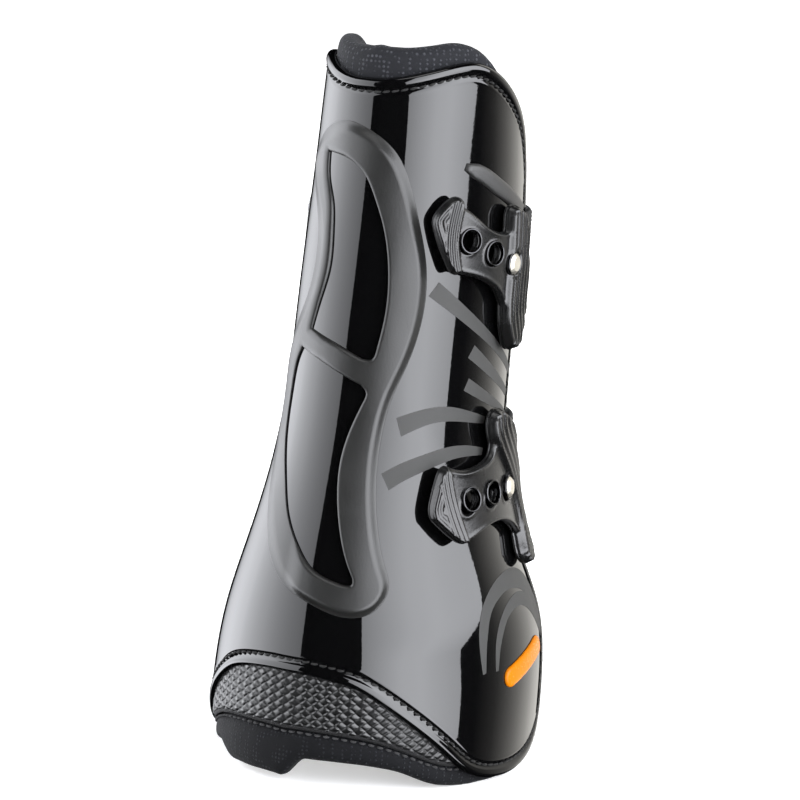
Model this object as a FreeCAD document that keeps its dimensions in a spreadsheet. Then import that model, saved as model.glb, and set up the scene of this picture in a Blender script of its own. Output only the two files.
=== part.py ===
"""Open-front tendon boot for the right fore leg of a horse, in millimetres.

+Z runs up the leg, +Y to the front of the leg, +X to its outer side. The sub-parts are written with the
origin on the ground below the middle of the boot, which is CENTRE from the origin they are drawn on. Every
layer of the boot is a slice of one family of surfaces: ellipses at fixed levels, lofted together, each layer
a set depth inside the outer face of the shell (a minus depth lies outside it). A layer is cut to its outline
by a prism drawn in the side view (Y, Z) or in the back view (X, Z).
"""
import FreeCAD
import Part
import Sketcher
import math
import os

Vector = FreeCAD.Vector

# Outer face of the shell: level, half width, half depth, y of the ellipse's centre.
LEVELS = [
    (0, 54.7, 62.9, 2.7),
    (25, 54.7, 62.9, 4.6),
    (50, 51.8, 60.5, 5.5),
    (75, 43.9, 52.3, 3.0),
    (100, 38.0, 46.1, 4.0),
    (125, 35.8, 43.7, 7.6),
    (150, 35.3, 43.0, 10.5),
    (175, 35.1, 42.8, 13.7),
    (200, 34.1, 41.6, 15.7),
    (225, 32.6, 39.7, 16.2),
    (250, 30.9, 37.6, 16.4),
]

# Driving dimensions, each a cell of the spreadsheet.
DIMENSIONS = {
    "shell_wall": 2.6,
    "layer_gap": 0.1,
    "impact_foam": 3.1,
    "neoprene": 4.5,
    "lining": 1.0,
    "collar_outer": 2.7,
    "collar_inner": 12.3,
    "roll_outer": 2.8,
    "panel_thickness": 1.6,
    "strike_height": 2.2,
    "bond_gap": 0.05,
    "badge_height": 1.2,
    "tab_clearance": 0.4,
    "web_top": 4.2,
    "bar_underside": 3.1,
    "bar_top": 6.8,
    "grip_underside": 2.9,
    "grip_top": 6.2,
    "elastic_underside": 0.8,
    "elastic_thickness": 2.0,
    "anchor_foot": 0.1,
    "anchor_underside": 3.0,
    "anchor_top": 5.2,
    "side_reach": 75.0,
    "back_reach": 80.0,
    "stud_base": 0.5,
    "stud_neck_start": 1.4,
    "stud_head_start": 4.2,
    "stud_dome_start": 6.0,
    "stud_top": 6.8,
    "stud_head_radius": 3.5,
    "stud_dome_radius": 2.5,
    "stud_neck_radius": 2.7,
    "shank_radius": 2.0,
    "shank_length": 4.9,
    "washer_depth": 3.75,
    "washer_thickness": 1.2,
    "washer_radius": 6.5,
    "washer_bore": 2.05,
    "pocket_radius": 7.0,
    "pocket_length": 20.0,
    "eyelet_bore": 3.9,
    "eyelet_radius": 4.9,
    "eyelet_foot": 0.9,
    "eyelet_top": 5.1,
    "tab_hole_radius": 4.95,
    "rivet_head_radius": 3.0,
    "rivet_head_start": 5.45,
    "rivet_top": 6.6,
    "rivet_crown_radius": 1.6,
    "rivet_shank_radius": 1.4,
    "rivet_flange_radius": 3.6,
    "rivet_flange_start": 3.3,
    "rivet_flange_end": 4.3,
    "rivet_hole_radius": 1.45,
}

# Side view (Y, Z) of the shell's rim, from the back of its top edge round the front to the back of its
# bottom edge.
RIM = [
    (-23, 234.5), (-12, 239), (1, 241), (11, 237.5), (22, 230), (32, 219.5), (38, 205), (40.5, 188),
    (41, 165), (38.5, 140), (36.5, 120), (36.5, 100), (38.5, 80), (41.5, 60), (43, 42), (41, 27), (34, 13.5),
    (21, 4.5), (7, 1.2), (-7, 1.2), (-20, 5), (-30, 13.5), (-39, 22.5), (-46.5, 30.5), (-51.5, 35.5), (-58, 39),
]
RIM_TOP_POINTS, RIM_FRONT_END, RIM_SCOOP_POINTS = 7, 15, 7
# Top of the padded collar, and its foot behind the rim.
COLLAR_TOP = [(-40, 245.5), (-16, 245.5), (-4, 247), (4, 245.5), (11, 241.5), (17, 236), (22.5, 229.5)]
COLLAR_FOOT = [(21, 225.5), (13, 230), (2, 233), (-12, 229.5), (-40, 227)]
# Underside of the padded roll at the bottom, and the seam above it.
ROLL_BOTTOM = [(-75, 8.5), (-52, 8.5), (-42, 6), (-31, 1.2), (-25, 0), (12, 0), (23, 4.5), (33, 12.5)]
ROLL_SEAM = [
    (30, 19), (21, 12.5), (9, 8.8), (-12, 8.2), (-27, 8.6), (-37, 12.6), (-47, 17.4), (-55, 19.8), (-75, 20),
]

# Back view (X, Z) of the raised strike frame and its two windows.
FRAME_OUTLINE = [
    (-8.5, 220), (2.5, 218), (12, 212), (18.5, 200), (22, 188), (24.8, 176), (25.9, 165), (25.3, 152),
    (23, 140), (20.3, 130), (19, 118), (19.8, 103), (23.2, 87), (27, 76), (29.5, 67.5), (25.5, 60),
    (18.5, 58.5),
    (8, 61), (-4, 65.5), (-13, 72), (-19.5, 81.5), (-24.5, 93), (-27.5, 104.5), (-29.5, 115.5), (-30.5, 128),
    (-29.5, 139), (-25.5, 148), (-21, 155.5), (-17.5, 163.5), (-16, 173), (-16.5, 181.5), (-19.5, 190),
    (-24, 198), (-25.5, 205), (-22.5, 212), (-16, 217.5),
]
UPPER_WINDOW = [
    [
        (-14.5, 209), (-6.2, 208), (1.3, 205), (7.5, 196), (11.3, 187), (13.9, 177), (15.1, 168), (15.2, 156),
        (14, 146),
    ],
    [(14, 146), (12.8, 142.6), (9.7, 142.5)],
    [(9.7, 142.5), (0.7, 146), (-13, 150)],
    [(-13, 150), (-10.3, 160), (-7.7, 170), (-8.2, 184), (-10, 193), (-13.5, 201), (-14.5, 209)],
]
LOWER_WINDOW = [
    [(-17, 143), (0, 138), (10.5, 133.8)],
    [(10.5, 133.8), (12.3, 131.5), (11.6, 128)],
    [(11.6, 128), (8.6, 118), (7.4, 108), (8.3, 99), (11.8, 86), (15.5, 77), (18.5, 71.5)],
    [(18.5, 71.5), (18.7, 69.4), (16.4, 69)],
    [
        (16.4, 69), (4.9, 73), (-3.1, 80), (-10.8, 90), (-15, 99), (-20.5, 114), (-21.4, 128), (-19.8, 138),
        (-17, 143),
    ],
]

# Each strap: what it turns on, the holes it hooks by, and its outlines. Angles are about the leg from the
# back of the boot, positive to the outer side. The tab's outlines are (distance forward, Z) in a plane turned
# about Z from the side view, and the elastic's and anchor plate's are in the side view.
STRAPS = {
    "upper": {
        "plane_turn": -10.0,
        "pivot": (37.6, 29.5, 168.0),
        "axis": (0.0, 0.09, 0.996),
        "holes": [(59.0, 182.5), (73.0, 178.0), (87.0, 174.0)],
        "web": [
            [(-8, 196), (0.7, 190), (5.5, 186.5), (10.5, 184), (14.6, 184), (17.5, 187)],
            [(17.5, 187), (21.5, 187)],
            [(21.5, 187), (21.5, 147)],
            [(21.5, 147), (14, 147)],
            [(14, 147), (11.4, 155), (6.4, 161), (0.9, 164), (-8, 167.5)],
            [(-8, 167.5), (-8, 196)],
        ],
        "bar": [
            [(15, 146), (16, 190)],
            [(16, 190), (18, 192.7), (22, 193)],
            [(22, 193), (27.5, 190.5), (30.7, 182), (32.2, 168), (32.2, 155), (30.8, 146.5)],
            [(30.8, 146.5), (28, 143.6), (17, 143.4), (15, 146)],
        ],
        "grip": [
            [(-4.2, 193.5), (-4.2, 168.5)],
            [(-4.2, 168.5), (-6.5, 165.7), (-10.8, 168.5)],
            [(-10.8, 168.5), (-14.3, 176), (-15.8, 184)],
            [(-15.8, 184), (-15.6, 190.5), (-13, 195.5)],
            [(-13, 195.5), (-9.5, 197.4), (-5.6, 196.4), (-4.2, 193.5)],
        ],
        "elastic": [(16.5, 146.5), (80.0, 146.5), (80.0, 189.5), (16.5, 189.5)],
        "anchor": [(6.0, 145.0), (27.0, 145.0), (29.0, 191.0), (8.0, 191.0)],
        "foot": [(6.0, 145.0), (15.5, 145.0), (15.5, 191.0), (8.0, 191.0)],
        "rivets": [(10.5, 151.5), (12.0, 184.5)],
    },
    "lower": {
        "plane_turn": 0.0,
        "pivot": (36.5, 34.0, 97.0),
        "axis": (-0.03, -0.31, 0.95),
        "holes": [(71.5, 95.5), (85.0, 96.5), (98.5, 97.0)],
        "web": [
            [(-19, 105.5), (-12.5, 101), (-6, 100.5), (0, 102), (5, 105.5), (7.7, 114)],
            [(7.7, 114), (16, 114)],
            [(16, 114), (28, 74)],
            [(28, 74), (24, 74)],
            [(24, 74), (20, 80.5), (13.2, 84), (6, 85), (-1, 84.5), (-8, 82), (-15.5, 78.5)],
            [(-15.5, 78.5), (-19, 105.5)],
        ],
        "bar": [
            [(20.8, 72), (5.0, 119)],
            [(5.0, 119), (6.5, 122.3), (11, 123)],
            [(11, 123), (20.3, 117), (26.8, 104), (32, 89), (36.2, 75)],
            [(36.2, 75), (35, 70.3), (28.5, 69)],
            [(28.5, 69), (22.5, 69.4), (20.8, 72)],
        ],
        "grip": [
            [(-15.2, 104), (-11.5, 82)],
            [(-11.5, 82), (-13.2, 77.6), (-19, 78)],
            [(-19, 78), (-24, 82.5), (-27.8, 89)],
            [(-27.8, 89), (-28.2, 97), (-25.6, 103)],
            [(-25.6, 103), (-21, 106.3), (-16.5, 106.6), (-15.2, 104)],
        ],
        "elastic": [(29.5, 74.0), (80.0, 74.0), (80.0, 119.0), (17.5, 119.0)],
        "anchor": [(17.5, 72.0), (38.0, 72.0), (26.5, 121.0), (5.5, 121.0)],
        "foot": [(17.5, 72.0), (28.8, 72.0), (15.8, 121.0), (5.5, 121.0)],
        "rivets": [(22.5, 79.5), (12.0, 113.5)],
    },
}
BADGE_CENTRE = (12.0, 38.0)
BADGE_LENGTH = 30.0
BADGE_WIDTH = 7.0
BADGE_TILT = 16.0

# The middle of the boot's bounding box, about the origin that everything is drawn on.
CENTRE = Vector(0.55, 1.58, 0)

doc = FreeCAD.newDocument("tendon_boot")
sheet = doc.addObject("Spreadsheet::Sheet", "dims")
nodes = []
lofts = {}


def fill_sheet():
    """Writes the driving dimensions into the spreadsheet, one aliased cell each."""
    cells = dict(DIMENSIONS)
    for index, (level, half_width, half_depth, centre_y) in enumerate(LEVELS):
        cells[f"level_{index}"] = level
        cells[f"half_width_{index}"] = half_width
        cells[f"half_depth_{index}"] = half_depth
        cells[f"centre_y_{index}"] = centre_y
    for row, (alias, value) in enumerate(cells.items(), start=1):
        sheet.set(f"A{row}", alias)
        sheet.set(f"B{row}", str(value))
        sheet.setAlias(f"B{row}", alias)
    doc.recompute()


def depth_value(expression):
    """The value of a depth written as a sum of sheet aliases, such as 'dims.shell_wall + dims.layer_gap'."""
    total = 0.0
    for term in expression.replace("-", "+-").split("+"):
        term = term.strip()
        if not term:
            continue
        sign = -1.0 if term.startswith("-") else 1.0
        name = term.lstrip("- ")
        total += sign * (sheet.get(name[5:]) if name.startswith("dims.") else float(name))
    return total


def section_at(level):
    """Half width, half depth and centre y of the shell's outer face at a level, smoothly through LEVELS."""
    step = LEVELS[1][0]
    index = min(max(int(level // step), 0), len(LEVELS) - 2)
    share = (level - LEVELS[index][0]) / step
    found = []
    for column in (1, 2, 3):
        before, start, end, after = (
            LEVELS[min(max(index + shift, 0), len(LEVELS) - 1)][column] for shift in (-1, 0, 1, 2)
        )
        slope_in, slope_out = (end - before) / 2, (after - start) / 2
        bend = 2 * share**3 - 3 * share**2 + 1
        found.append(
            bend * start
            + (share**3 - 2 * share**2 + share) * slope_in
            + (1 - bend) * end
            + (share**3 - share**2) * slope_out
        )
    return found


def point_at(angle, level, depth=0.0):
    """The point of a layer's face at an angle about the leg and a level."""
    half_width, half_depth, centre_y = section_at(level)
    turn = math.radians(angle)
    y = centre_y - (half_depth - depth) * math.cos(turn)
    return Vector((half_width - depth) * math.sin(turn), y, level)


def normal_at(angle, level):
    """The outward normal of the shell's outer face."""
    step = 0.5
    along = point_at(angle + step, level) - point_at(angle - step, level)
    up = point_at(angle, level + step) - point_at(angle, level - step)
    return along.cross(up).normalize()


def angle_for(y, level):
    """The angle about the leg, on the outer side, at which the shell's outer face reaches a y."""
    half_width, half_depth, centre_y = section_at(level)
    return math.degrees(math.acos((centre_y - y) / half_depth))


def body_loft(depth):
    """The solid inside one face of the family: ellipses at every level, lofted; depth is an expression."""
    if depth in lofts:
        return lofts[depth]
    sections = []
    for index in range(len(LEVELS)):
        ellipse = doc.addObject("Part::Ellipse", f"ring_{len(lofts)}_{index}")
        ellipse.Placement = FreeCAD.Placement(Vector(), FreeCAD.Rotation(Vector(0, 0, 1), 90))
        ellipse.MajorRadius = 500
        ellipse.MinorRadius = 1
        ellipse.setExpression("MajorRadius", f"dims.half_depth_{index} - ({depth})")
        ellipse.setExpression("MinorRadius", f"dims.half_width_{index} - ({depth})")
        ellipse.setExpression("Placement.Base.y", f"dims.centre_y_{index}")
        ellipse.setExpression("Placement.Base.z", f"dims.level_{index}")
        sections.append(ellipse)
    loft = doc.addObject("Part::Loft", f"loft_{len(lofts)}")
    loft.Sections = sections
    loft.Solid = True
    loft.Ruled = False
    lofts[depth] = loft
    return loft


def cut(name, base, tool):
    made = doc.addObject("Part::Cut", name)
    made.Base = base
    made.Tool = tool
    return made


def common(name, first, second):
    made = doc.addObject("Part::MultiCommon", name)
    made.Shapes = [first, second]
    return made


def fuse(name, *shapes):
    made = doc.addObject("Part::MultiFuse", name)
    made.Shapes = list(shapes)
    return made


def layer(name, outer, inner):
    """The closed band between two faces of the family."""
    return cut(f"{name}_layer", body_loft(outer), body_loft(inner))


def smooth(points):
    """A curve through points, or a line through two."""
    vectors = [Vector(x, y, 0) for x, y in points]
    if len(vectors) == 2:
        return Part.LineSegment(*vectors)
    curve = Part.BSplineCurve()
    curve.interpolate(vectors)
    return curve


def closed(points):
    """A smooth closed curve through points."""
    curve = Part.BSplineCurve()
    curve.interpolate([Vector(x, y, 0) for x, y in points], PeriodicFlag=True)
    return curve


def polygon(points):
    """The straight sides of a polygon."""
    return [smooth([start, end]) for start, end in zip(points, points[1:] + points[:1])]


def prism(name, edges, x_dir, y_dir, origin, forward, backward="0"):
    """A sketch of edges on the plane of x_dir and y_dir, extruded both ways along its normal."""
    sketch = doc.addObject("Sketcher::SketchObject", f"{name}_outline")
    normal = Vector(x_dir).cross(Vector(y_dir))
    turn = FreeCAD.Rotation(Vector(x_dir), Vector(y_dir), normal, "ZXY")
    sketch.Placement = FreeCAD.Placement(Vector(origin), turn)
    sketch.addGeometry(edges, False)
    solid = doc.addObject("Part::Extrusion", f"{name}_prism")
    solid.Base = sketch
    solid.DirMode = "Normal"
    solid.Solid = True
    solid.FaceMakerClass = "Part::FaceMakerBullseye"
    solid.setExpression("LengthFwd", forward)
    solid.setExpression("LengthRev", backward)
    return solid


def side_prism(name, edges, forward="dims.side_reach", backward="dims.side_reach"):
    """A prism along X of an outline drawn in (Y, Z)."""
    return prism(name, edges, (0, 1, 0), (0, 0, 1), (0, 0, 0), forward, backward)


def inset(points, distance):
    """An open outline moved inwards, to the right of its direction of travel."""
    moved = []
    for index, (y, z) in enumerate(points):
        before = points[max(index - 1, 0)]
        after = points[min(index + 1, len(points) - 1)]
        dy = after[0] - before[0]
        dz = after[1] - before[1]
        size = math.hypot(dy, dz)
        moved.append((y + distance * dz / size, z - distance * dy / size))
    return moved


def rim_prism(name, distance):
    """The side outline of the boot, its rim moved inwards by a distance and closed well behind the heel."""
    rim = inset(RIM, distance)
    behind = -80.0
    start = rim[0]
    end = rim[-1]
    edges = [
        smooth(rim),
        smooth([end, (behind, end[1])]),
        smooth([(behind, end[1]), (behind, start[1])]),
        smooth([(behind, start[1]), start]),
    ]
    return side_prism(name, edges)


def band_prism(name, upper, lower):
    """A side prism between two open curves that run opposite ways."""
    return side_prism(
        name, [smooth(upper), smooth([upper[-1], lower[0]]), smooth(lower), smooth([lower[-1], upper[0]])]
    )


def revolved(name, corners, base, direction):
    """A body turned about its own Z axis from corners of (radius, height) expressions, stood on a point."""
    body = doc.addObject("PartDesign::Body", name)
    sketch = body.newObject("Sketcher::SketchObject", f"{name}_profile")
    plane = next(f for f in body.Origin.OriginFeatures if f.Role == "XZ_Plane")
    sketch.AttachmentSupport = (plane, [""])
    sketch.MapMode = "FlatFace"
    places = [Vector(depth_value(radius), depth_value(height), 0) for radius, height in corners]
    count = len(places)
    for index in range(count):
        sketch.addGeometry(Part.LineSegment(places[index], places[(index + 1) % count]), False)
    for index in range(count):
        sketch.addConstraint(Sketcher.Constraint("Coincident", index, 2, (index + 1) % count, 1))
    for index, (radius, height) in enumerate(corners):
        for kind, expression, value, axis in (
            ("DistanceX", radius, places[index].x, -2),
            ("DistanceY", height, places[index].y, -1),
        ):
            if value == 0:
                sketch.addConstraint(Sketcher.Constraint("PointOnObject", index, 1, axis))
                continue
            number = sketch.addConstraint(Sketcher.Constraint(kind, -1, 1, index, 1, value))
            sketch.setExpression(f"Constraints[{number}]", expression)
    turn = body.newObject("PartDesign::Revolution", f"{name}_turn")
    turn.Profile = sketch
    turn.ReferenceAxis = (sketch, ["V_Axis"])
    turn.Angle = 360.0
    body.Tip = turn
    body.Placement = FreeCAD.Placement(base, FreeCAD.Rotation(Vector(0, 0, 1), direction))
    return body


def drill(name, radius, base, direction):
    """A long cylinder through a point, for cutting a hole or pocket inwards and outwards."""
    hole = doc.addObject("Part::Cylinder", name)
    hole.setExpression("Radius", radius)
    hole.setExpression("Height", "dims.pocket_length")
    start = base - direction * (depth_value("dims.pocket_length") / 2)
    hole.Placement = FreeCAD.Placement(start, FreeCAD.Rotation(Vector(0, 0, 1), direction))
    return hole


def node(label, made):
    """Marks an object as a sub-part of the boot, under the name of its file."""
    made.Label = label
    nodes.append(made)
    return made


def stud_frame(strap):
    """Foot and direction of a strap's stud: the direction in which the strap's hole first leaves it."""
    angle, level = strap["holes"][-1]
    foot = point_at(angle, level)
    arm = foot + normal_at(angle, level) * 3.5 - Vector(strap["pivot"])
    return foot, Vector(strap["axis"]).cross(arm).normalize()


def hole_frames(strap):
    """Foot and direction of every hole of a strap's tab, the stud's own last."""
    frames = [(point_at(angle, level), normal_at(angle, level)) for angle, level in strap["holes"][:-1]]
    return frames + [stud_frame(strap)]


def rivet_frames(strap):
    """Foot and direction of a strap's two anchor rivets, on the inner side of the leg."""
    frames = []
    for y, level in strap["rivets"]:
        angle = -angle_for(y, level)
        frames.append((point_at(angle, level), normal_at(angle, level)))
    return frames


def drilled(name, base, radius, frames):
    """base with a hole of a radius at each frame."""
    tools = [drill(f"{name}_drill_{index}", radius, *frame) for index, frame in enumerate(frames)]
    return cut(f"{name}_drilled", base, fuse(f"{name}_drills", *tools) if len(tools) > 1 else tools[0])


def build_shell():
    """The moulded outer shell, with holes for the studs and the anchor rivets."""
    blank = common("shell_blank", layer("shell", "0", "dims.shell_wall"), rim_prism("shell", 0.0))
    studs = [stud_frame(strap) for strap in STRAPS.values()]
    rivets = [frame for strap in STRAPS.values() for frame in rivet_frames(strap)]
    blank = drilled("shell_studs", blank, "dims.washer_bore", studs)
    node("outer_shell", drilled("shell_rivets", blank, "dims.rivet_hole_radius", rivets))


def build_strike_frame():
    """The raised frame over the tendon: an hourglass band with a slanting bar between two windows."""
    edges = [closed(FRAME_OUTLINE)]
    edges += [smooth(side) for side in UPPER_WINDOW + LOWER_WINDOW]
    cutter = prism("strike", edges, (1, 0, 0), (0, 0, 1), (0, 2, 0), "dims.back_reach")
    face = layer("strike", "-dims.strike_height", "-dims.bond_gap")
    node("strike_frame", common("strike_frame", face, cutter))


def build_badge():
    """A plain rounded bar on the outer side of the fetlock."""
    tilt = math.radians(BADGE_TILT)
    along = Vector(math.cos(tilt), math.sin(tilt), 0)
    across = Vector(-math.sin(tilt), math.cos(tilt), 0)
    centre = Vector(*BADGE_CENTRE, 0)
    half = along * (BADGE_LENGTH - BADGE_WIDTH) / 2
    radius = across * BADGE_WIDTH / 2
    front = centre + half
    back = centre - half
    end = along * BADGE_WIDTH / 2
    edges = [
        Part.LineSegment(back + radius, front + radius),
        Part.Arc(front + radius, front + end, front - radius),
        Part.LineSegment(front - radius, back - radius),
        Part.Arc(back - radius, back - end, back + radius),
    ]
    cutter = side_prism("badge", edges, backward="0")
    bar = layer("badge", "-dims.badge_height", "-dims.bond_gap")
    node("accent_badge", common("accent_badge", bar, cutter))


def build_padding():
    """The impact sheet, the neoprene liner, its lining, the collar, the bottom roll and the fetlock panel."""
    shell_in = "dims.shell_wall + dims.layer_gap"
    foam_in = shell_in + " + dims.impact_foam"
    neoprene_out = foam_in + " + dims.layer_gap"
    neoprene_in = neoprene_out + " + dims.neoprene"
    lining_out = neoprene_in + " + dims.layer_gap"
    lining_in = lining_out + " + dims.lining"

    foam = common("foam_blank", layer("foam", shell_in, foam_in), rim_prism("foam", 9.0))
    pockets = [stud_frame(strap) for strap in STRAPS.values()]
    pockets += [frame for strap in STRAPS.values() for frame in rivet_frames(strap)]
    node("impact_sheet", drilled("impact_sheet", foam, "dims.pocket_radius", pockets))

    above_seam = side_prism("above_seam", seam_region(0.3, -0.3))
    liner = common("liner_blank", layer("liner", neoprene_out, neoprene_in), rim_prism("liner", 3.0))
    node("neoprene_liner", common("neoprene_liner", liner, above_seam))

    inner = common("lining_blank", layer("lining", lining_out, lining_in), rim_prism("lining", 4.0))
    node("leg_lining", common("leg_lining", inner, above_seam))

    collar = side_prism("collar", [
        smooth(COLLAR_TOP),
        smooth([COLLAR_TOP[-1], COLLAR_FOOT[0]]),
        smooth(COLLAR_FOOT),
        smooth([COLLAR_FOOT[-1], COLLAR_TOP[0]]),
    ])
    collar_band = layer("collar", "dims.collar_outer", "dims.collar_inner")
    node("top_collar", common("top_collar", collar_band, collar))

    roll = band_prism("roll", ROLL_BOTTOM, ROLL_SEAM)
    node("bottom_roll", common("bottom_roll", layer("roll", "dims.roll_outer", "dims.collar_inner"), roll))

    panel_in = shell_in + " + dims.panel_thickness"
    panel = side_prism("panel", panel_region())
    node("fetlock_panel", common("fetlock_panel", layer("panel", shell_in, panel_in), panel))


def seam_region(lift, drop):
    """All of the side view above the bottom roll's seam, lifted clear of it, and below the collar."""
    seam = [(y, z + lift) for y, z in reversed(ROLL_SEAM)]
    foot = [(y, z + drop) for y, z in COLLAR_FOOT]
    front = 60.0
    behind = -80.0
    first = seam[0]
    last = seam[-1]
    return [
        smooth(seam),
        smooth([last, (front, last[1])]),
        smooth([(front, last[1]), (front, foot[0][1])]),
        smooth([(front, foot[0][1]), foot[0]]),
        smooth(foot),
        smooth([foot[-1], (behind, foot[-1][1])]),
        smooth([(behind, foot[-1][1]), (behind, first[1])]),
        smooth([(behind, first[1]), first]),
    ]


def panel_region():
    """The side view between the bottom roll and a line a little above the shell's rim, behind the lobes."""
    top = inset(RIM[-RIM_SCOOP_POINTS:], 6.0)
    seam = [(y, z + 0.8) for y, z in reversed(ROLL_SEAM) if y < -20]
    behind = seam[0][0]
    return [
        smooth(top),
        smooth([top[-1], (behind, top[-1][1])]),
        smooth([(behind, top[-1][1]), seam[0]]),
        smooth(seam),
        smooth([seam[-1], top[0]]),
    ]


def build_binding():
    """Tape over the liner's two front edges."""
    outer = inset(RIM, 0.6)[RIM_TOP_POINTS:RIM_FRONT_END]
    inner = inset(RIM, 2.8)[RIM_TOP_POINTS:RIM_FRONT_END]
    strip = side_prism("binding", [
        smooth(outer),
        smooth([outer[-1], inner[-1]]),
        smooth(inner[::-1]),
        smooth([inner[0], outer[0]]),
    ])
    tape = layer("binding", "dims.shell_wall + dims.layer_gap", "dims.collar_inner")
    node("front_edge_binding", common("front_edge_binding", tape, strip))


def build_tab(name, strap):
    """The moulded end of a strap: grip, web with three holes, and the bar that clamps the elastic."""
    turn = math.radians(strap["plane_turn"])
    x_dir = (-math.sin(turn), math.cos(turn), 0)

    def piece(part, outer, inner):
        cutter = prism(f"{name}_{part}", [smooth(side) for side in strap[part]], x_dir, (0, 0, 1), (0, 0, 0),
                       "dims.side_reach")
        return common(f"{name}_{part}", layer(f"{name}_{part}", outer, inner), cutter)

    web = piece("web", "-dims.web_top", "-dims.tab_clearance")
    bar = piece("bar", "-dims.bar_top", "-dims.bar_underside")
    grip = piece("grip", "-dims.grip_top", "-dims.grip_underside")
    blank = fuse(f"{name}_tab_blank", web, bar, grip)
    node(f"{name}_strap_tab", drilled(f"{name}_tab", blank, "dims.tab_hole_radius", hole_frames(strap)))


def build_eyelets(name, strap):
    """Three eyelets, one in each hole of the tab."""
    corners = [
        ("dims.eyelet_bore", "dims.eyelet_foot"),
        ("dims.eyelet_radius", "dims.eyelet_foot"),
        ("dims.eyelet_radius", "dims.eyelet_top"),
        ("dims.eyelet_bore", "dims.eyelet_top"),
    ]
    rings = []
    for index, frame in enumerate(hole_frames(strap)):
        rings.append(revolved(f"{name}_eyelet_{index}", corners, *frame))
    node(f"{name}_tab_eyelets", fuse(f"{name}_eyelets", *rings))


def build_stud(name, strap):
    """The stud that a hole hooks over, and the washer that holds it inside the shell."""
    frame = stud_frame(strap)
    foot, direction = frame
    shank_end = foot - direction * depth_value("dims.shank_length")
    rise = "dims.shank_length + "
    corners = [
        ("0", "0"),
        ("dims.shank_radius", "0"),
        ("dims.shank_radius", rise + "dims.stud_base"),
        ("dims.stud_head_radius", rise + "dims.stud_base"),
        ("dims.stud_head_radius", rise + "dims.stud_neck_start"),
        ("dims.stud_neck_radius", rise + "dims.stud_neck_start"),
        ("dims.stud_neck_radius", rise + "dims.stud_head_start"),
        ("dims.stud_head_radius", rise + "dims.stud_head_start"),
        ("dims.stud_head_radius", rise + "dims.stud_dome_start"),
        ("dims.stud_dome_radius", rise + "dims.stud_top"),
        ("0", rise + "dims.stud_top"),
    ]
    node(f"{name}_stud", revolved(f"{name}_stud", corners, shank_end, direction))
    washer_corners = [
        ("dims.washer_bore", "0"),
        ("dims.washer_radius", "0"),
        ("dims.washer_radius", "dims.washer_thickness"),
        ("dims.washer_bore", "dims.washer_thickness"),
    ]
    base = foot - direction * (depth_value("dims.washer_depth + dims.washer_thickness"))
    node(f"{name}_stud_washer", revolved(f"{name}_stud_washer", washer_corners, base, direction))


def build_anchor(name, strap):
    """The elastic, the plate that clamps its end to the shell's inner side, and the plate's two rivets."""
    top = "-dims.elastic_underside - dims.elastic_thickness"
    band = layer(f"{name}_elastic", top, "-dims.elastic_underside")
    cutter = side_prism(f"{name}_elastic", polygon(strap["elastic"]))
    node(f"{name}_elastic", common(f"{name}_elastic", band, cutter))
    frames = rivet_frames(strap)
    pieces = []
    for part, underside in (("anchor", "-dims.anchor_underside"), ("foot", "-dims.anchor_foot")):
        cutter = side_prism(f"{name}_{part}", polygon(strap[part]), forward="0")
        slab = layer(f"{name}_{part}", "-dims.anchor_top", underside)
        pieces.append(common(f"{name}_{part}", slab, cutter))
    plate = fuse(f"{name}_anchor_blank", *pieces)
    node(f"{name}_anchor_plate", drilled(f"{name}_anchor", plate, "dims.rivet_hole_radius", frames))
    rise = "dims.rivet_flange_end + "
    corners = [
        ("0", "0"),
        ("dims.rivet_flange_radius", "0"),
        ("dims.rivet_flange_radius", "dims.rivet_flange_end - dims.rivet_flange_start"),
        ("dims.rivet_shank_radius", "dims.rivet_flange_end - dims.rivet_flange_start"),
        ("dims.rivet_shank_radius", rise + "dims.rivet_head_start"),
        ("dims.rivet_head_radius", rise + "dims.rivet_head_start"),
        ("dims.rivet_crown_radius", rise + "dims.rivet_top"),
        ("0", rise + "dims.rivet_top"),
    ]
    rivets = []
    for index, (foot, direction) in enumerate(frames):
        base = foot - direction * depth_value("dims.rivet_flange_end")
        rivets.append(revolved(f"{name}_rivet_{index}", corners, base, direction))
    node(f"{name}_anchor_rivets", fuse(f"{name}_rivets", *rivets))


def write_parts():
    """Checks every object, then writes each sub-part to its own file."""
    failed = [o.Name for o in doc.Objects if {"Invalid", "Error"} & set(o.State)]
    if failed:
        raise RuntimeError(f"failed objects: {failed}")
    os.makedirs("parts", exist_ok=True)
    for made in nodes:
        shape = made.Shape.copy()
        if shape.isNull() or not shape.isValid() or not shape.Solids:
            raise RuntimeError(f"{made.Label} has no valid solid")
        shape.translate(-CENTRE)
        shape.exportStep(f"parts/{made.Label}.step")
        print(f"{made.Label}: {len(shape.Solids)} solid(s), {shape.Volume / 1000:.2f} cm3")


fill_sheet()
build_shell()
build_strike_frame()
build_badge()
build_padding()
build_binding()
for strap_name, strap_facts in STRAPS.items():
    build_tab(strap_name, strap_facts)
    build_eyelets(strap_name, strap_facts)
    build_stud(strap_name, strap_facts)
    build_anchor(strap_name, strap_facts)
doc.recompute()
write_parts()
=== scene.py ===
"""Looks of the tendon boot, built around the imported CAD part. Lengths are millimetres until new_object makes a mesh.

Every moulded or sewn surface is drawn on the boot's own unrolled face: p is the distance round the leg from the
back of the boot (positive to the outer side), z the level, and `off` the height above the shell's outer face.
"""

import math

import bpy
import numpy as np
from mathutils import Matrix, Vector
from mathutils.geometry import delaunay_2d_cdt


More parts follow.
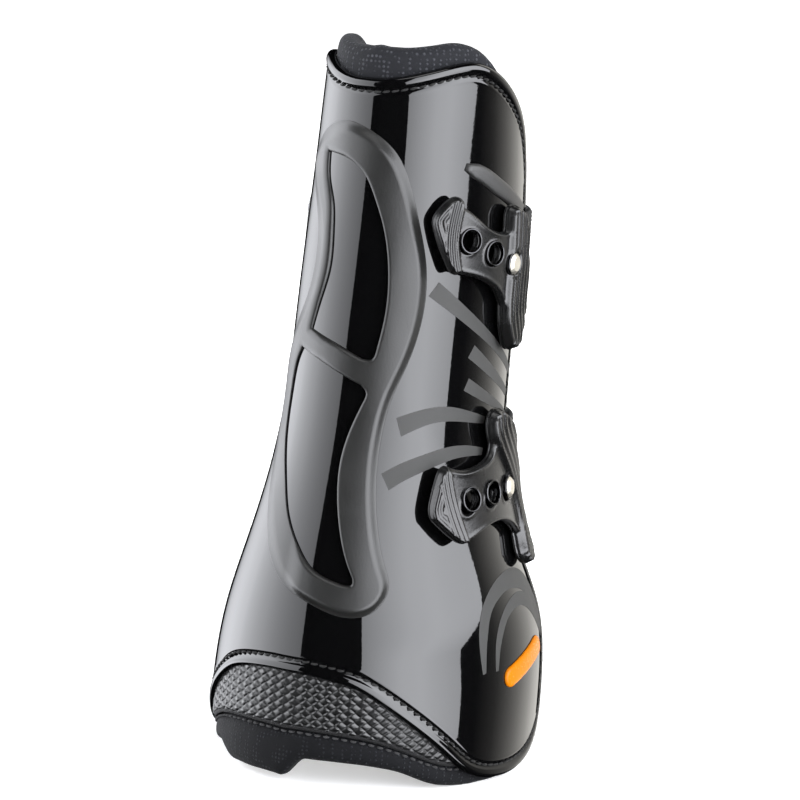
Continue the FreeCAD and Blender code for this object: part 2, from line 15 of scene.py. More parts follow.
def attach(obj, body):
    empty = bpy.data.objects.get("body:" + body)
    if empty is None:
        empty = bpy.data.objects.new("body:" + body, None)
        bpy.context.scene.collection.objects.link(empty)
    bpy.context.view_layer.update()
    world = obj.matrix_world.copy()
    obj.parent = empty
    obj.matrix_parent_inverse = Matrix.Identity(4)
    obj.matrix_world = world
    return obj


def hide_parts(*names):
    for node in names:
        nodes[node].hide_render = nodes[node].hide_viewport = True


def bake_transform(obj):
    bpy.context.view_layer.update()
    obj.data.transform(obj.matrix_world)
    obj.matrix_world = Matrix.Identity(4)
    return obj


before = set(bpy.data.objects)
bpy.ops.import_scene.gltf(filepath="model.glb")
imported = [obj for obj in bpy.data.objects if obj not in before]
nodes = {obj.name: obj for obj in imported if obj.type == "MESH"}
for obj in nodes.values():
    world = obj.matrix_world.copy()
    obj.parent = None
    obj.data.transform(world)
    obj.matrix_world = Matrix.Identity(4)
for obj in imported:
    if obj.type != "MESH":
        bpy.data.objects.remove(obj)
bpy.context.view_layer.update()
MM = 0.001
CENTRE = np.array([0.55, 1.58, 0.0])  # the middle of the boot about the origin that its numbers are drawn on

# Outer face of the shell: level, half width, half depth, y of the ellipse's centre.
LEVELS = np.array([
    (0, 54.7, 62.9, 2.7), (25, 54.7, 62.9, 4.6), (50, 51.8, 60.5, 5.5), (75, 43.9, 52.3, 3.0),
    (100, 38.0, 46.1, 4.0), (125, 35.8, 43.7, 7.6), (150, 35.3, 43.0, 10.5), (175, 35.1, 42.8, 13.7),
    (200, 34.1, 41.6, 15.7), (225, 32.6, 39.7, 16.2), (250, 30.9, 37.6, 16.4),
])
RIM = [
    (-23, 234.5), (-12, 239), (1, 241), (11, 237.5), (22, 230), (32, 219.5), (38, 205), (40.5, 188),
    (41, 165), (38.5, 140), (36.5, 120), (36.5, 100), (38.5, 80), (41.5, 60), (43, 42), (41, 27), (34, 13.5),
    (21, 4.5), (7, 1.2), (-7, 1.2), (-20, 5), (-30, 13.5), (-39, 22.5), (-46.5, 30.5), (-51.5, 35.5), (-58, 39),
]
COLLAR_TOP = [(-40, 245.5), (-16, 245.5), (-4, 247), (4, 245.5), (11, 241.5), (17, 236), (22.5, 229.5)]
COLLAR_FOOT = [(-40, 227), (-12, 229.5), (2, 233), (13, 230), (21, 225.5)]
ROLL_BOTTOM = [(-75, 8.5), (-52, 8.5), (-42, 6), (-31, 1.2), (-25, 0), (12, 0), (23, 4.5), (33, 12.5)]
ROLL_SEAM = [
    (-75, 20), (-55, 19.8), (-47, 17.4), (-37, 12.6), (-27, 8.6), (-12, 8.2), (9, 8.8), (21, 12.5), (30, 19),
]
FRAME_OUTLINE = [
    (-8.5, 220), (2.5, 218), (12, 212), (18.5, 200), (22, 188), (24.8, 176), (25.9, 165), (25.3, 152),
    (23, 140), (20.3, 130), (19, 118), (19.8, 103), (23.2, 87), (27, 76), (29.5, 67.5), (25.5, 60), (18.5, 58.5),
    (8, 61), (-4, 65.5), (-13, 72), (-19.5, 81.5), (-24.5, 93), (-27.5, 104.5), (-29.5, 115.5), (-30.5, 128),
    (-29.5, 139), (-25.5, 148), (-21, 155.5), (-17.5, 163.5), (-16, 173), (-16.5, 181.5), (-19.5, 190),
    (-24, 198), (-25.5, 205), (-22.5, 212), (-16, 217.5),
]
UPPER_WINDOW = [
    [(-14.5, 209), (-6.2, 208), (1.3, 205), (7.5, 196), (11.3, 187), (13.9, 177), (15.1, 168), (15.2, 156),
     (14, 146)],
    [(14, 146), (12.8, 142.6), (9.7, 142.5)],
    [(9.7, 142.5), (0.7, 146), (-13, 150)],
    [(-13, 150), (-10.3, 160), (-7.7, 170), (-8.2, 184), (-10, 193), (-13.5, 201), (-14.5, 209)],
]
LOWER_WINDOW = [
    [(-17, 143), (0, 138), (10.5, 133.8)],
    [(10.5, 133.8), (12.3, 131.5), (11.6, 128)],
    [(11.6, 128), (8.6, 118), (7.4, 108), (8.3, 99), (11.8, 86), (15.5, 77), (18.5, 71.5)],
    [(18.5, 71.5), (18.7, 69.4), (16.4, 69)],
    [(16.4, 69), (4.9, 73), (-3.1, 80), (-10.8, 90), (-15, 99), (-20.5, 114), (-21.4, 128), (-19.8, 138), (-17, 143)],
]
STRAPS = {
    "upper": {
        "plane_turn": -10.0,
        "pivot": (37.6, 29.5, 168.0),
        "axis": (0.0, 0.09, 0.996),
        "holes": [(59.0, 182.5), (73.0, 178.0), (87.0, 174.0)],
        "lift_turn": 16.0,
        "web": [
            [(-8.5, 195), (-2, 191.2), (4.5, 186.9), (12.5, 184.3), (16.2, 184.8), (17.7, 187)],
            [(17.7, 187), (21.5, 187)], [(21.5, 187), (21.5, 148.6)], [(21.5, 148.6), (19.5, 148.6)],
            [(19.5, 148.6), (15.8, 157.3), (10.7, 165), (2.5, 169.8), (-8.5, 172.8)],
            [(-8.5, 172.8), (-8.5, 195)],
        ],
        "bar": [
            [(18.5, 147.5), (15.5, 154), (15.3, 170), (16.2, 190)], [(16.2, 190), (18, 192.7), (22, 193)],
            [(22, 193), (27.5, 190), (30.7, 182), (32.2, 168), (32.2, 156), (30.8, 148.5)],
            [(30.8, 148.5), (27, 144.6), (21.5, 144.8), (18.5, 147.5)],
        ],
        "grip": [
            [(-7, 195.3), (-8.7, 189), (-9.6, 181), (-8.7, 173.3)], [(-8.7, 173.3), (-10.6, 171.9), (-12.4, 173.6)],
            [(-12.4, 173.6), (-16.1, 182.4), (-17.4, 187.2)], [(-17.4, 187.2), (-17.5, 190.3), (-16.2, 192.5)],
            [(-16.2, 192.5), (-11.6, 196.6), (-8.9, 197.2), (-7, 195.3)],
        ],
        "elastic": [(16.5, 146.5), (16.5, 189.5)],
        "anchor": [(6.0, 145.0), (27.0, 145.0), (29.0, 191.0), (8.0, 191.0)],
    },
    "lower": {
        "plane_turn": 0.0,
        "pivot": (36.5, 34.0, 97.0),
        "axis": (-0.03, -0.31, 0.95),
        "holes": [(71.5, 95.5), (85.0, 96.5), (98.5, 97.0)],
        "lift_turn": 28.0,
        "web": [
            [(-21.3, 107.5), (-15.2, 105.9), (-5.6, 106.8), (-1.2, 108), (2.1, 110.4), (3.2, 113.5)],
            [(3.2, 113.5), (16, 114)], [(16, 114), (28, 75.2)], [(28, 75.2), (21.8, 75.2)],
            [(21.8, 75.2), (20.8, 78.8), (16.8, 82.9), (11.2, 85.8), (4.2, 87.5), (-1.5, 87.5), (-10.9, 85.3),
             (-18, 83)],
            [(-18, 83), (-21.3, 107.5)],
        ],
        "bar": [
            [(19, 74.5), (21, 81.5), (17.5, 93.3), (10.1, 104), (4, 111.5), (1.2, 117), (0.5, 121)],
            [(0.5, 121), (3, 124), (8, 124.5)],
            [(8, 124.5), (17, 119.5), (24.5, 108), (30, 94), (34.5, 80)], [(34.5, 80), (34.5, 73.5), (29, 70)],
            [(29, 70), (22, 70.5), (19, 74.5)],
        ],
        "grip": [
            [(-21.3, 106.7), (-21.2, 102), (-20, 92.5), (-17.9, 83.7)], [(-17.9, 83.7), (-19.8, 82.9), (-22.1, 83.7)],
            [(-22.1, 83.7), (-25, 86), (-30.1, 91.5)], [(-30.1, 91.5), (-30.2, 94.3), (-29.2, 97.3)],
            [(-29.2, 97.3), (-25.7, 105.1), (-23.8, 107.6), (-22.1, 108.1), (-21.3, 106.7)],
        ],
        "elastic": [(29.5, 74.0), (17.5, 119.0)],
        "anchor": [(17.5, 72.0), (38.0, 72.0), (26.5, 121.0), (5.5, 121.0)],
    },
}


# --- curves and the boot's face
def cubic(knots, values, at):
    """A natural cubic spline through values at knots, read at `at`; values may have columns."""
    knots, values = np.asarray(knots, float), np.asarray(values, float)
    values = values.reshape(len(knots), -1)
    gap = np.diff(knots)
    count = len(knots)
    left = np.zeros((count, count))
    right = np.zeros_like(values)
    left[0, 0] = left[-1, -1] = 1.0
    for i in range(1, count - 1):
        left[i, i - 1:i + 2] = gap[i - 1], 2 * (gap[i - 1] + gap[i]), gap[i]
        right[i] = 6 * ((values[i + 1] - values[i]) / gap[i] - (values[i] - values[i - 1]) / gap[i - 1])
    bend = np.linalg.solve(left, right)
    at = np.asarray(at, float)
    i = np.clip(np.searchsorted(knots, at) - 1, 0, count - 2)
    t0, t1 = (knots[i + 1] - at)[:, None], (at - knots[i])[:, None]
    h = gap[i][:, None]
    out = (bend[i] * t0**3 + bend[i + 1] * t1**3) / (6 * h)
    out += (values[i] / h - bend[i] * h / 6) * t0 + (values[i + 1] / h - bend[i + 1] * h / 6) * t1
    return out


def lap(count):
    """Even angles once round, in radians."""
    return np.linspace(0, 2 * np.pi, count, endpoint=False)


def chords(points):
    """Distance along a polyline at each of its points."""
    return np.r_[0, np.cumsum(np.linalg.norm(np.diff(points, axis=0), axis=1))]


def along_line(points, chord, at):
    """Points of a flat polyline at distances along it."""
    return np.stack([np.interp(at, chord, points[:, i]) for i in range(2)], -1)


def looped(points):
    """A loop with its first point again at the end."""
    return np.vstack([points, points[:1]])


def leftward(ways):
    """Unit vectors to the left of flat directions."""
    ways = ways / np.linalg.norm(ways, axis=1)[:, None]
    return np.stack([-ways[:, 1], ways[:, 0]], -1)


def leftward_of_loop(loop):
    return leftward(np.roll(loop, -1, axis=0) - np.roll(loop, 1, axis=0))


def runs_left(loop):
    """Whether a loop runs anticlockwise."""
    return np.sum(loop[:, 0] * np.roll(loop[:, 1], -1) - np.roll(loop[:, 0], -1) * loop[:, 1]) > 0


def curve_through(points, step=0.7):
    """Points every `step` along a smooth curve through points."""
    points = np.asarray(points, float)
    if len(points) == 2:
        count = max(int(np.linalg.norm(points[1] - points[0]) / step), 1)
        return points[0] + (points[1] - points[0]) * np.linspace(0, 1, count + 1)[:, None]
    chord = chords(points)
    return cubic(chord, points, np.linspace(0, chord[-1], max(int(chord[-1] / step), 4) + 1))


def chain(curves, step=0.7):
    """A closed loop made of smooth curves end to end, without repeated points."""
    return np.vstack([curve_through(curve, step)[:-1] for curve in curves])


def polygon(corners):
    """A closed loop of straight sides."""
    return chain(list(zip(corners, np.roll(corners, -1, axis=0))), 0.8)


def closed_through(points, step):
    """A closed smooth loop through points."""
    extra = 4  # points repeated at each end, so that the join is as smooth as the rest
    ring = np.array(points[-extra:] + points + points[:extra], float)
    chord = chords(ring)
    start, end = chord[extra], chord[extra + len(points)]
    return cubic(chord, ring, np.linspace(start, end, int((end - start) / step) + 1)[:-1])


def section(z):
    """Half width, half depth and centre y of the shell's outer face at levels z."""
    z = np.asarray(z, float)
    return cubic(LEVELS[:, 0], LEVELS[:, 1:], z.ravel()).T.reshape(3, *z.shape)


SWEEP = np.linspace(0, 200, 401)  # degrees from the back of the boot
RATIOS = (1.13, 1.25)  # of depth to width, just below and above every section's own


def arc_table(ratio):
    """Length of an ellipse of half width 1 from its back to each angle of SWEEP."""
    turn = np.radians(SWEEP)
    rate = np.hypot(np.cos(turn), ratio * np.sin(turn))
    return np.r_[0, np.cumsum((rate[1:] + rate[:-1]) / 2 * np.diff(turn))]


ARCS = [arc_table(ratio) for ratio in RATIOS]


def width_and_share(z):
    """Half width at levels z, and how far the section's ratio is from the first of RATIOS to the second."""
    a, b, _ = section(z)
    return a, (b / a - RATIOS[0]) / (RATIOS[1] - RATIOS[0])


def arc(angle, z):
    """Distance round the leg from the back of the boot to an angle in degrees, at level z."""
    angle, z = np.broadcast_arrays(angle, z)
    a, share = width_and_share(z)
    low, high = (np.interp(abs(angle), SWEEP, table) for table in ARCS)
    return np.sign(angle) * a * (low + share * (high - low))


def angle_at(p, z):
    """The inverse of arc."""
    a, share = width_and_share(z)
    low, high = (np.interp(abs(p) / a, table, SWEEP) for table in ARCS)
    return np.sign(p) * (low + share * (high - low))


def on_face(p, z, off):
    """Points in millimetres at distance p round the leg, level z and height off above the shell."""
    p, z, off = np.broadcast_arrays(p, z, off)
    a, b, y0 = section(z)
    turn = np.radians(angle_at(p, z))
    return np.stack([(a + off) * np.sin(turn), y0 - (b + off) * np.cos(turn), z], -1)


def unrolled(angle, z):
    """(degrees, z) to (p, z)."""
    return np.stack([arc(angle, z), z], -1)


def side_angle(y, z):
    """Side view (y, z) to degrees round the leg, on the outer face."""
    _, b, y0 = section(z)
    return np.degrees(np.arccos(np.clip((y0 - y) / b, -1, 1)))


def from_side(points, side=1):
    """Side view (y, z) to unrolled (p, z), on the outer side or, for side -1, the inner one."""
    y, z = np.asarray(points, float).T
    return unrolled(side_angle(y, z), z) * [side, 1]


FRAME_TOP = 2.2  # off at which the strike frame is drawn


def from_back(points):
    """Back view (x, z) to unrolled (p, z)."""
    x, z = np.asarray(points, float).T
    return unrolled(np.degrees(np.arcsin(x / (section(z)[0] + FRAME_TOP))), z)


LIFT = 3.0  # how far a tab would stand off the boot where its curve is shifted straight out


def tab_lift(angle, lift_turn):
    """How far a tab stands off the boot's own curve, by angle."""
    return LIFT * np.clip(np.cos(np.radians(angle - lift_turn)), 0, 1)


def from_plane(points, turn, off, lift_turn):
    """(u, z) in a strap's turned side plane to unrolled (p, z), for a tab's face `off` above its lifted foot."""
    u, z = np.asarray(points, float).T
    a, b, y0 = section(z)
    t = math.radians(turn)
    reach = np.full(len(z), float(off))
    for _ in range(5):
        along, across = -(a + reach) * math.sin(t), -(b + reach) * math.cos(t)
        share = (u - y0 * math.cos(t)) / np.hypot(along, across)
        angle = np.degrees(np.arctan2(along, across) - np.arccos(np.clip(share, -1, 1))) % 360
        reach = off + tab_lift(angle, lift_turn)
    return unrolled(angle, z)


def ease(t):
    t = np.clip(t, 0, 1)
    return t * t * (3 - 2 * t)


def dome(t):
    """A quarter round: 0 at 0, level at 1."""
    return np.sqrt(1 - (1 - np.clip(t, 0, 1)) ** 2)


def distance(points, loops, closed=True):
    """Distance of points to loops."""
    best = np.full(len(points), 1e9)
    for loop in loops:
        start = loop if closed else loop[:-1]
        end = np.roll(loop, -1, axis=0) if closed else loop[1:]
        run = end - start
        size = (run**2).sum(1)
        for at in range(0, len(points), 2000):
            rel = points[at:at + 2000, None] - start[None]
            share = np.clip((rel * run).sum(2) / size, 0, 1)
            gap = np.linalg.norm(rel - share[..., None] * run, axis=2).min(1)
            best[at:at + 2000] = np.minimum(best[at:at + 2000], gap)
    return best


def inside(points, loops):
    """Whether points are inside the first loop and outside the others."""
    flips = np.zeros(len(points), int)
    for loop in loops:
        (x0, y0), (x1, y1) = loop.T, np.roll(loop, -1, axis=0).T
        for at in range(0, len(points), 4000):
            x, y = points[at:at + 4000, 0, None], points[at:at + 4000, 1, None]
            spans = (y0 > y) != (y1 > y)
            cut = x0 + (y - y0) * (x1 - x0) / np.where(y1 == y0, 1e-9, y1 - y0)
            flips[at:at + 4000] += (spans & (x < cut)).sum(1)
    return flips % 2 == 1


def signed(points, loops):
    """Distance to the loops, positive inside."""
    return np.where(inside(points, loops), 1, -1) * distance(points, loops)


# --- meshes
def new_object(name, verts, faces, finish):
    """A mesh object from points in millimetres."""
    mesh = bpy.data.meshes.new(name)
    mesh.from_pydata(((np.asarray(verts) - CENTRE) * MM).tolist(), [], [list(map(int, f)) for f in faces])
    mesh.validate()
    mesh.shade_smooth()
    mesh.materials.append(finish)
    made = bpy.data.objects.new(name, mesh)
    bpy.context.scene.collection.objects.link(made)
    return made


def grid_faces(rows, columns):
    """Faces of a sheet of points that are stored row by row."""
    return [[i * columns + j, i * columns + j + 1, (i + 1) * columns + j + 1, (i + 1) * columns + j]
            for i in range(rows - 1) for j in range(columns - 1)]


def merged(name, pieces, finish):
    """One object from several (points, faces) lists."""
    faces, count = [], 0
    for points, sides in pieces:
        faces += [[i + count for i in face] for face in sides]
        count += len(points)
    return new_object(name, np.vstack([points for points, _ in pieces]), faces, finish)


RING_CLEAR = 0.93  # a ring's point stays where it keeps this share of the ring's depth from every edge
ROW_PITCH = 0.866  # of a grid of even triangles, in steps
NORMAL_STEP = 0.05


def patch(name, loops, spacing, rings, height, finish, wall, dense=None, exact_normals=False, place=on_face):
    """A moulded piece on the boot's face: its top follows height(points), its wall goes down through `wall`, a list
    of (distance outwards, off) or (distance outwards, (off, share of the top's height)), and its underside closes it.
    rings are the depths inside the edges that get their own points; dense is (where, spacing) for a finer part."""
    loops = [loop if runs_left(loop) == (i == 0) else loop[::-1] for i, loop in enumerate(loops)]
    points, edges, count = [], [], 0
    for loop in loops:
        n = len(loop)
        edges += [(count + i, count + (i + 1) % n) for i in range(n)]
        points.append(loop)
        count += n
    for loop in loops:
        inward = leftward_of_loop(loop)
        for index, depth in enumerate(rings):
            ring = (loop + inward * depth)[index % 2:]  # every other ring leaves out its first point
            points.append(ring[signed(ring, loops) > depth * RING_CLEAR])
    low, high = loops[0].min(0), loops[0].max(0)

    def grid(step):
        rows = []
        for i, level in enumerate(np.arange(low[1], high[1], step * ROW_PITCH)):
            across = np.arange(low[0] + (i % 2) * step / 2, high[0], step)
            rows.append(np.stack([across, np.full(len(across), level)], -1))
        made = np.vstack(rows)
        return made[signed(made, loops) > rings[-1] + 0.5 * step]

    inner = grid(spacing)
    if dense:
        chosen, step = dense
        fine = grid(step)
        inner = np.vstack([inner[~chosen(inner)], fine[chosen(fine)]])
    points = np.vstack(points + [inner])
    flat, _, triangles, *_ = delaunay_2d_cdt([Vector(v) for v in points.tolist()], edges, [], 0, 1e-5)
    flat = np.array([tuple(v) for v in flat])
    triangles = np.array([t for t in triangles if len(t) == 3])
    triangles = triangles[signed(flat[triangles].mean(1), loops) > 0]
    used = np.unique(triangles)
    renumber = np.full(len(flat), -1)
    renumber[used] = np.arange(len(used))
    flat, triangles = flat[used], renumber[triangles]
    turn = np.cross(flat[triangles[:, 1]] - flat[triangles[:, 0]], flat[triangles[:, 2]] - flat[triangles[:, 0]])
    triangles[turn < 0] = triangles[turn < 0][:, ::-1]
    top = height(flat)
    directed = dict.fromkeys((t[i], t[(i + 1) % 3]) for t in triangles for i in range(3))
    border = [e for e in directed if (e[1], e[0]) not in directed]
    outward = np.zeros_like(flat)
    for i, j in border:
        run = flat[j] - flat[i]
        outward[[i, j]] += np.array([run[1], -run[0]]) / np.linalg.norm(run)
    rim = np.unique(border)
    away = outward[rim] / np.linalg.norm(outward[rim], axis=1)[:, None]
    order = np.zeros(len(flat), int)
    order[rim] = np.arange(len(rim))
    above, count = np.arange(len(flat)), len(flat)
    verts, faces = [place(flat[:, 0], flat[:, 1], top)], triangles.tolist()
    for out, level in wall:
        spot = flat[rim] + away * out
        off = top[rim] * level[1] + level[0] if isinstance(level, tuple) else level
        verts.append(place(spot[:, 0], spot[:, 1], off))
        below = order + count
        faces += [[above[j], above[i], below[i], below[j]] for i, j in border]
        above = below
        count += len(rim)
    interior = np.setdiff1d(np.arange(len(flat)), rim)
    below[interior] = np.arange(len(interior)) + count
    verts.append(place(flat[interior, 0], flat[interior, 1], wall[-1][1]))
    faces += [[below[c], below[b], below[a]] for a, b, c in triangles]
    made = new_object(name, np.vstack(verts), faces, finish)
    if exact_normals:
        across = place(flat[:, 0] + NORMAL_STEP, flat[:, 1], height(flat + [NORMAL_STEP, 0])) - verts[0]
        up = place(flat[:, 0], flat[:, 1] + NORMAL_STEP, height(flat + [0, NORMAL_STEP])) - verts[0]
        normal = np.cross(across, up)
        normal /= np.linalg.norm(normal, axis=1)[:, None]
        given = np.zeros((len(made.data.vertices), 3))
        given[interior] = normal[interior]
        made.data.normals_split_custom_set_from_vertices(given.tolist())
    return made


def swept(curve, profile):
    """A tube along an unrolled curve. profile is closed: (distance to the curve's left, off)."""
    rows = []
    for point, side in zip(curve, leftward(np.gradient(curve, axis=0))):
        spots = point + side * profile[:, :1]
        rows.append(on_face(spots[:, 0], spots[:, 1], profile[:, 1]))
    return tube(rows)


def tube(rows, endless=False):
    """(points, faces) of a tube through closed rings of points, capped unless it is endless."""
    n, count = len(rows[0]), len(rows)
    faces = []
    for i in range(count if endless else count - 1):
        a, b = i * n, (i + 1) % count * n
        faces += [[a + j, a + (j + 1) % n, b + (j + 1) % n, b + j] for j in range(n)]
    if not endless:
        faces += [list(range(n))[::-1], [(count - 1) * n + j for j in range(n)]]
    return np.vstack(rows), faces


def oval(half_width, half_height, centre_off, count):
    turn = lap(count)
    return np.stack([np.cos(turn) * half_width, centre_off + np.sin(turn) * half_height], -1)


def stitching(name, line, pitch, length, thick, off, finish, tilt=0.0):
    """A row of thread stitches: each a small bowed bead that dives into the surface at both ends."""
    chord = chords(line)
    at = np.linspace(0, chord[-1], max(int(chord[-1] / pitch), 2) + 1)
    at = (at[:-1] + at[1:]) / 2
    ways = along_line(line, chord, at + 0.3) - along_line(line, chord, at - 0.3)
    ways /= np.linalg.norm(ways, axis=1)[:, None]
    turn = math.radians(tilt)
    spin = np.array([[math.cos(turn), -math.sin(turn)], [math.sin(turn), math.cos(turn)]])
    around = lap(6)
    pieces = []
    for spot, way in zip(along_line(line, chord, at), ways):
        way = spin @ way
        side = np.array([-way[1], way[0]])
        rows = []
        for s in np.linspace(-1, 1, 7):
            size = thick * math.sqrt(max(1 - 0.75 * s * s, 0.05))
            points = spot + way * (s * length / 2) + np.cos(around)[:, None] * size * side
            rows.append(on_face(points[:, 0], points[:, 1], off + np.sin(around) * size - thick * 1.1 * s * s))
        pieces.append(tube(rows))
    return merged(name, pieces, finish)


def lathe(profile, base, direction, count=40):
    """(points, faces) of a closed profile of (radius, height) turned about a unit direction from base."""
    side = np.cross(direction, [0, 0, 1.0])
    side /= np.linalg.norm(side)
    other = np.cross(direction, side)
    rows = []
    for turn in lap(count):
        ray = side * math.cos(turn) + other * math.sin(turn)
        rows.append(np.array([base + ray * r + direction * h for r, h in profile]))
    return tube(rows, endless=True)


# --- materials
def material(name, colour, rough, metal=0.0, specular=0.5, sheen=0.0):
    """A principled material and the nodes that later calls add to."""
    made = bpy.data.materials.new(name)
    made.use_nodes = True
    for socket, value in (("Base Color", (*colour, 1)), ("Roughness", rough), ("Metallic", metal),
                          ("Specular IOR Level", specular), ("Sheen Weight", sheen)):
        shader_of(made).inputs[socket].default_value = value
    made.diffuse_color = (*colour, 1)
    return made


def add(made, kind, **values):
    """A new node of a material, with its inputs or settings by name."""
    node = made.node_tree.nodes.new(kind)
    for key, value in values.items():
        if key in node.inputs:
            node.inputs[key].default_value = value
        else:
            setattr(node, key, value)
    return node


def link(made, source, target):
    made.node_tree.links.new(source, target)


def shader_of(made):
    return made.node_tree.nodes["Principled BSDF"]


def coordinates(made):
    return add(made, "ShaderNodeTexCoord").outputs["Object"]


def noise(made, scale, detail=3.0, rough=0.5):
    node = add(made, "ShaderNodeTexNoise", Scale=scale, Detail=detail, Roughness=rough)
    link(made, coordinates(made), node.inputs["Vector"])
    return node.outputs["Fac"]


def ramp(made, source, low, high, first, last):
    """source's range from low to high, mapped to colours or numbers from first to last."""
    node = add(made, "ShaderNodeMapRange")
    for key, value in (("From Min", low), ("From Max", high), ("To Min", first), ("To Max", last)):
        node.inputs[key].default_value = value
    link(made, source, node.inputs["Value"])
    return node.outputs["Result"]


def tint(made, source, dark, light):
    """Base colour mixed from dark to light by source."""
    node = add(made, "ShaderNodeMix", data_type="RGBA")
    share, first, last, result = node.inputs[0], node.inputs[6], node.inputs[7], node.outputs[2]
    first.default_value = (*dark, 1)
    last.default_value = (*light, 1)
    link(made, source, share)
    link(made, result, shader_of(made).inputs["Base Color"])


def bumps(made, *layers):
    """Chained bump nodes, each (height source, strength, distance in metres)."""
    last = None
    for source, strength, depth in layers:
        node = add(made, "ShaderNodeBump", Strength=strength, Distance=depth)
        link(made, source, node.inputs["Height"])
        if last:
            link(made, last, node.inputs["Normal"])
        last = node.outputs["Normal"]
    link(made, last, shader_of(made).inputs["Normal"])


def maths(made, operation, first, second=0.0):
    """first and second, each a number or a socket, joined by an operation."""
    node = add(made, "ShaderNodeMath", operation=operation)
    for slot, value in enumerate((first, second)):
        if isinstance(value, (int, float)):
            node.inputs[slot].default_value = value
        else:
            link(made, value, node.inputs[slot])
    return node.outputs[0]


def gloss_shell():
    made = material("gloss_shell", (0.0015, 0.0015, 0.0016), 0.03, specular=0.5)
    link(made, ramp(made, noise(made, 420, 4), 0.3, 0.8, 0.02, 0.05), shader_of(made).inputs["Roughness"])
    bumps(made, (noise(made, 20, 1.0), 0.06, 0.004), (noise(made, 900, 2), 0.02, 0.0002))
    return made


def satin(name, colour, rough, grain=1400, specular=0.5):
    made = material(name, colour, rough, specular=specular)
    fine, broad = noise(made, grain, 3), noise(made, 60, 3)
    tint(made, broad, [c * 0.8 for c in colour], [c * 1.25 for c in colour])
    link(made, ramp(made, broad, 0.3, 0.7, rough - 0.05, rough + 0.06), shader_of(made).inputs["Roughness"])
    bumps(made, (fine, 0.18, 0.00015))
    return made


def metal(name, colour, rough):
    made = material(name, colour, rough, metal=1.0)
    scratch = noise(made, 2200, 2)
    link(made, ramp(made, scratch, 0.3, 0.7, rough * 0.7, rough * 1.5), shader_of(made).inputs["Roughness"])
    bumps(made, (noise(made, 500, 2), 0.05, 0.0002))
    return made


def mesh_fabric(name, dark, light, pitch, holes, knots=False):
    """Knitted mesh over neoprene: rows of small round perforations or, with knots, pale dots that are painted glints;
    fuzzy yarn between them.
    """
    made = material(name, light, 0.85, specular=0.2, sheen=0.04)
    shader_of(made).inputs["Sheen Roughness"].default_value = 0.4
    cells = add(made, "ShaderNodeTexVoronoi", Scale=1 / pitch, Randomness=0.25)
    link(made, coordinates(made), cells.inputs["Vector"])
    # With knots the Voronoi dots come out lighter than the knit around them: painted glints, not a colour of the yarn.
    hole = ramp(made, cells.outputs["Distance"], holes * 0.35, holes * 0.75, float(knots), 1.0 - knots)
    yarn = noise(made, 2600, 3, 0.7)
    cloud = noise(made, 90, 3)
    mixed = maths(made, "MULTIPLY", hole, ramp(made, yarn, 0.3, 0.75, 0.25, 1.0))
    mixed = maths(made, "MULTIPLY", mixed, ramp(made, cloud, 0.3, 0.7, 0.65, 1.0))
    tint(made, mixed, dark, light)
    bumps(made, (hole, 0.7, 0.0005), (yarn, 0.5, 0.00025))
    return made


def woven(name, dark, light, pitch=0.0009):
    """Narrow woven tape: ribs one way, finer picks across them."""
    made = material(name, light, 0.7, specular=0.25, sheen=0.02)
    split = add(made, "ShaderNodeSeparateXYZ")
    link(made, coordinates(made), split.inputs[0])
    around = maths(made, "ADD", split.outputs["X"], split.outputs["Y"])
    picks = maths(made, "SINE", maths(made, "MULTIPLY", around, 2 * math.pi / (pitch * 0.8)))
    ribs = maths(made, "SINE", maths(made, "MULTIPLY", split.outputs["Z"], 2 * math.pi / pitch))
    weave = maths(made, "MULTIPLY", picks, ribs)
    level = ramp(made, weave, -1, 1, 0, 1)
    fuzz = noise(made, 3000, 2)
    # The colour follows the weave's relief, darker in its dips and lighter on its crests: painted shade and highlight.
    tint(made, maths(made, "MULTIPLY", level, ramp(made, fuzz, 0.2, 0.8, 0.4, 1.0)), dark, light)
    bumps(made, (level, 0.6, 0.0003), (fuzz, 0.3, 0.0001))
    return made


SHELL = gloss_shell()
FRAME = satin("strike_satin", (0.010, 0.010, 0.0095), 0.36, specular=0.42)
BAND = satin("band_satin", (0.026, 0.026, 0.025), 0.62, 1800, specular=0.3)
RIB_SATIN = satin("rib_satin", (0.014, 0.014, 0.0135), 0.5, 1800)
TAB = satin("tab_satin", (0.0035, 0.0035, 0.0035), 0.26, 1100)
ORANGE = material("accent_orange", (0.40, 0.115, 0.001), 0.4, specular=0.12)
link(ORANGE, ramp(ORANGE, noise(ORANGE, 900), 0.3, 0.7, 0.18, 0.3), shader_of(ORANGE).inputs["Roughness"])
bumps(ORANGE, (noise(ORANGE, 1200), 0.05, 0.0001))
CHROME = metal("stud_chrome", (0.60, 0.57, 0.50), 0.42)
STEEL = metal("rivet_steel", (0.5, 0.5, 0.51), 0.28)
RING = metal("eyelet_black", (0.05, 0.05, 0.052), 0.12)
# The collar and the roll pass knots=True, so their pale dots are painted glints.
COLLAR = mesh_fabric("collar_mesh", (0.0085, 0.009, 0.011), (0.060, 0.063, 0.072), 0.0016, 0.5, True)
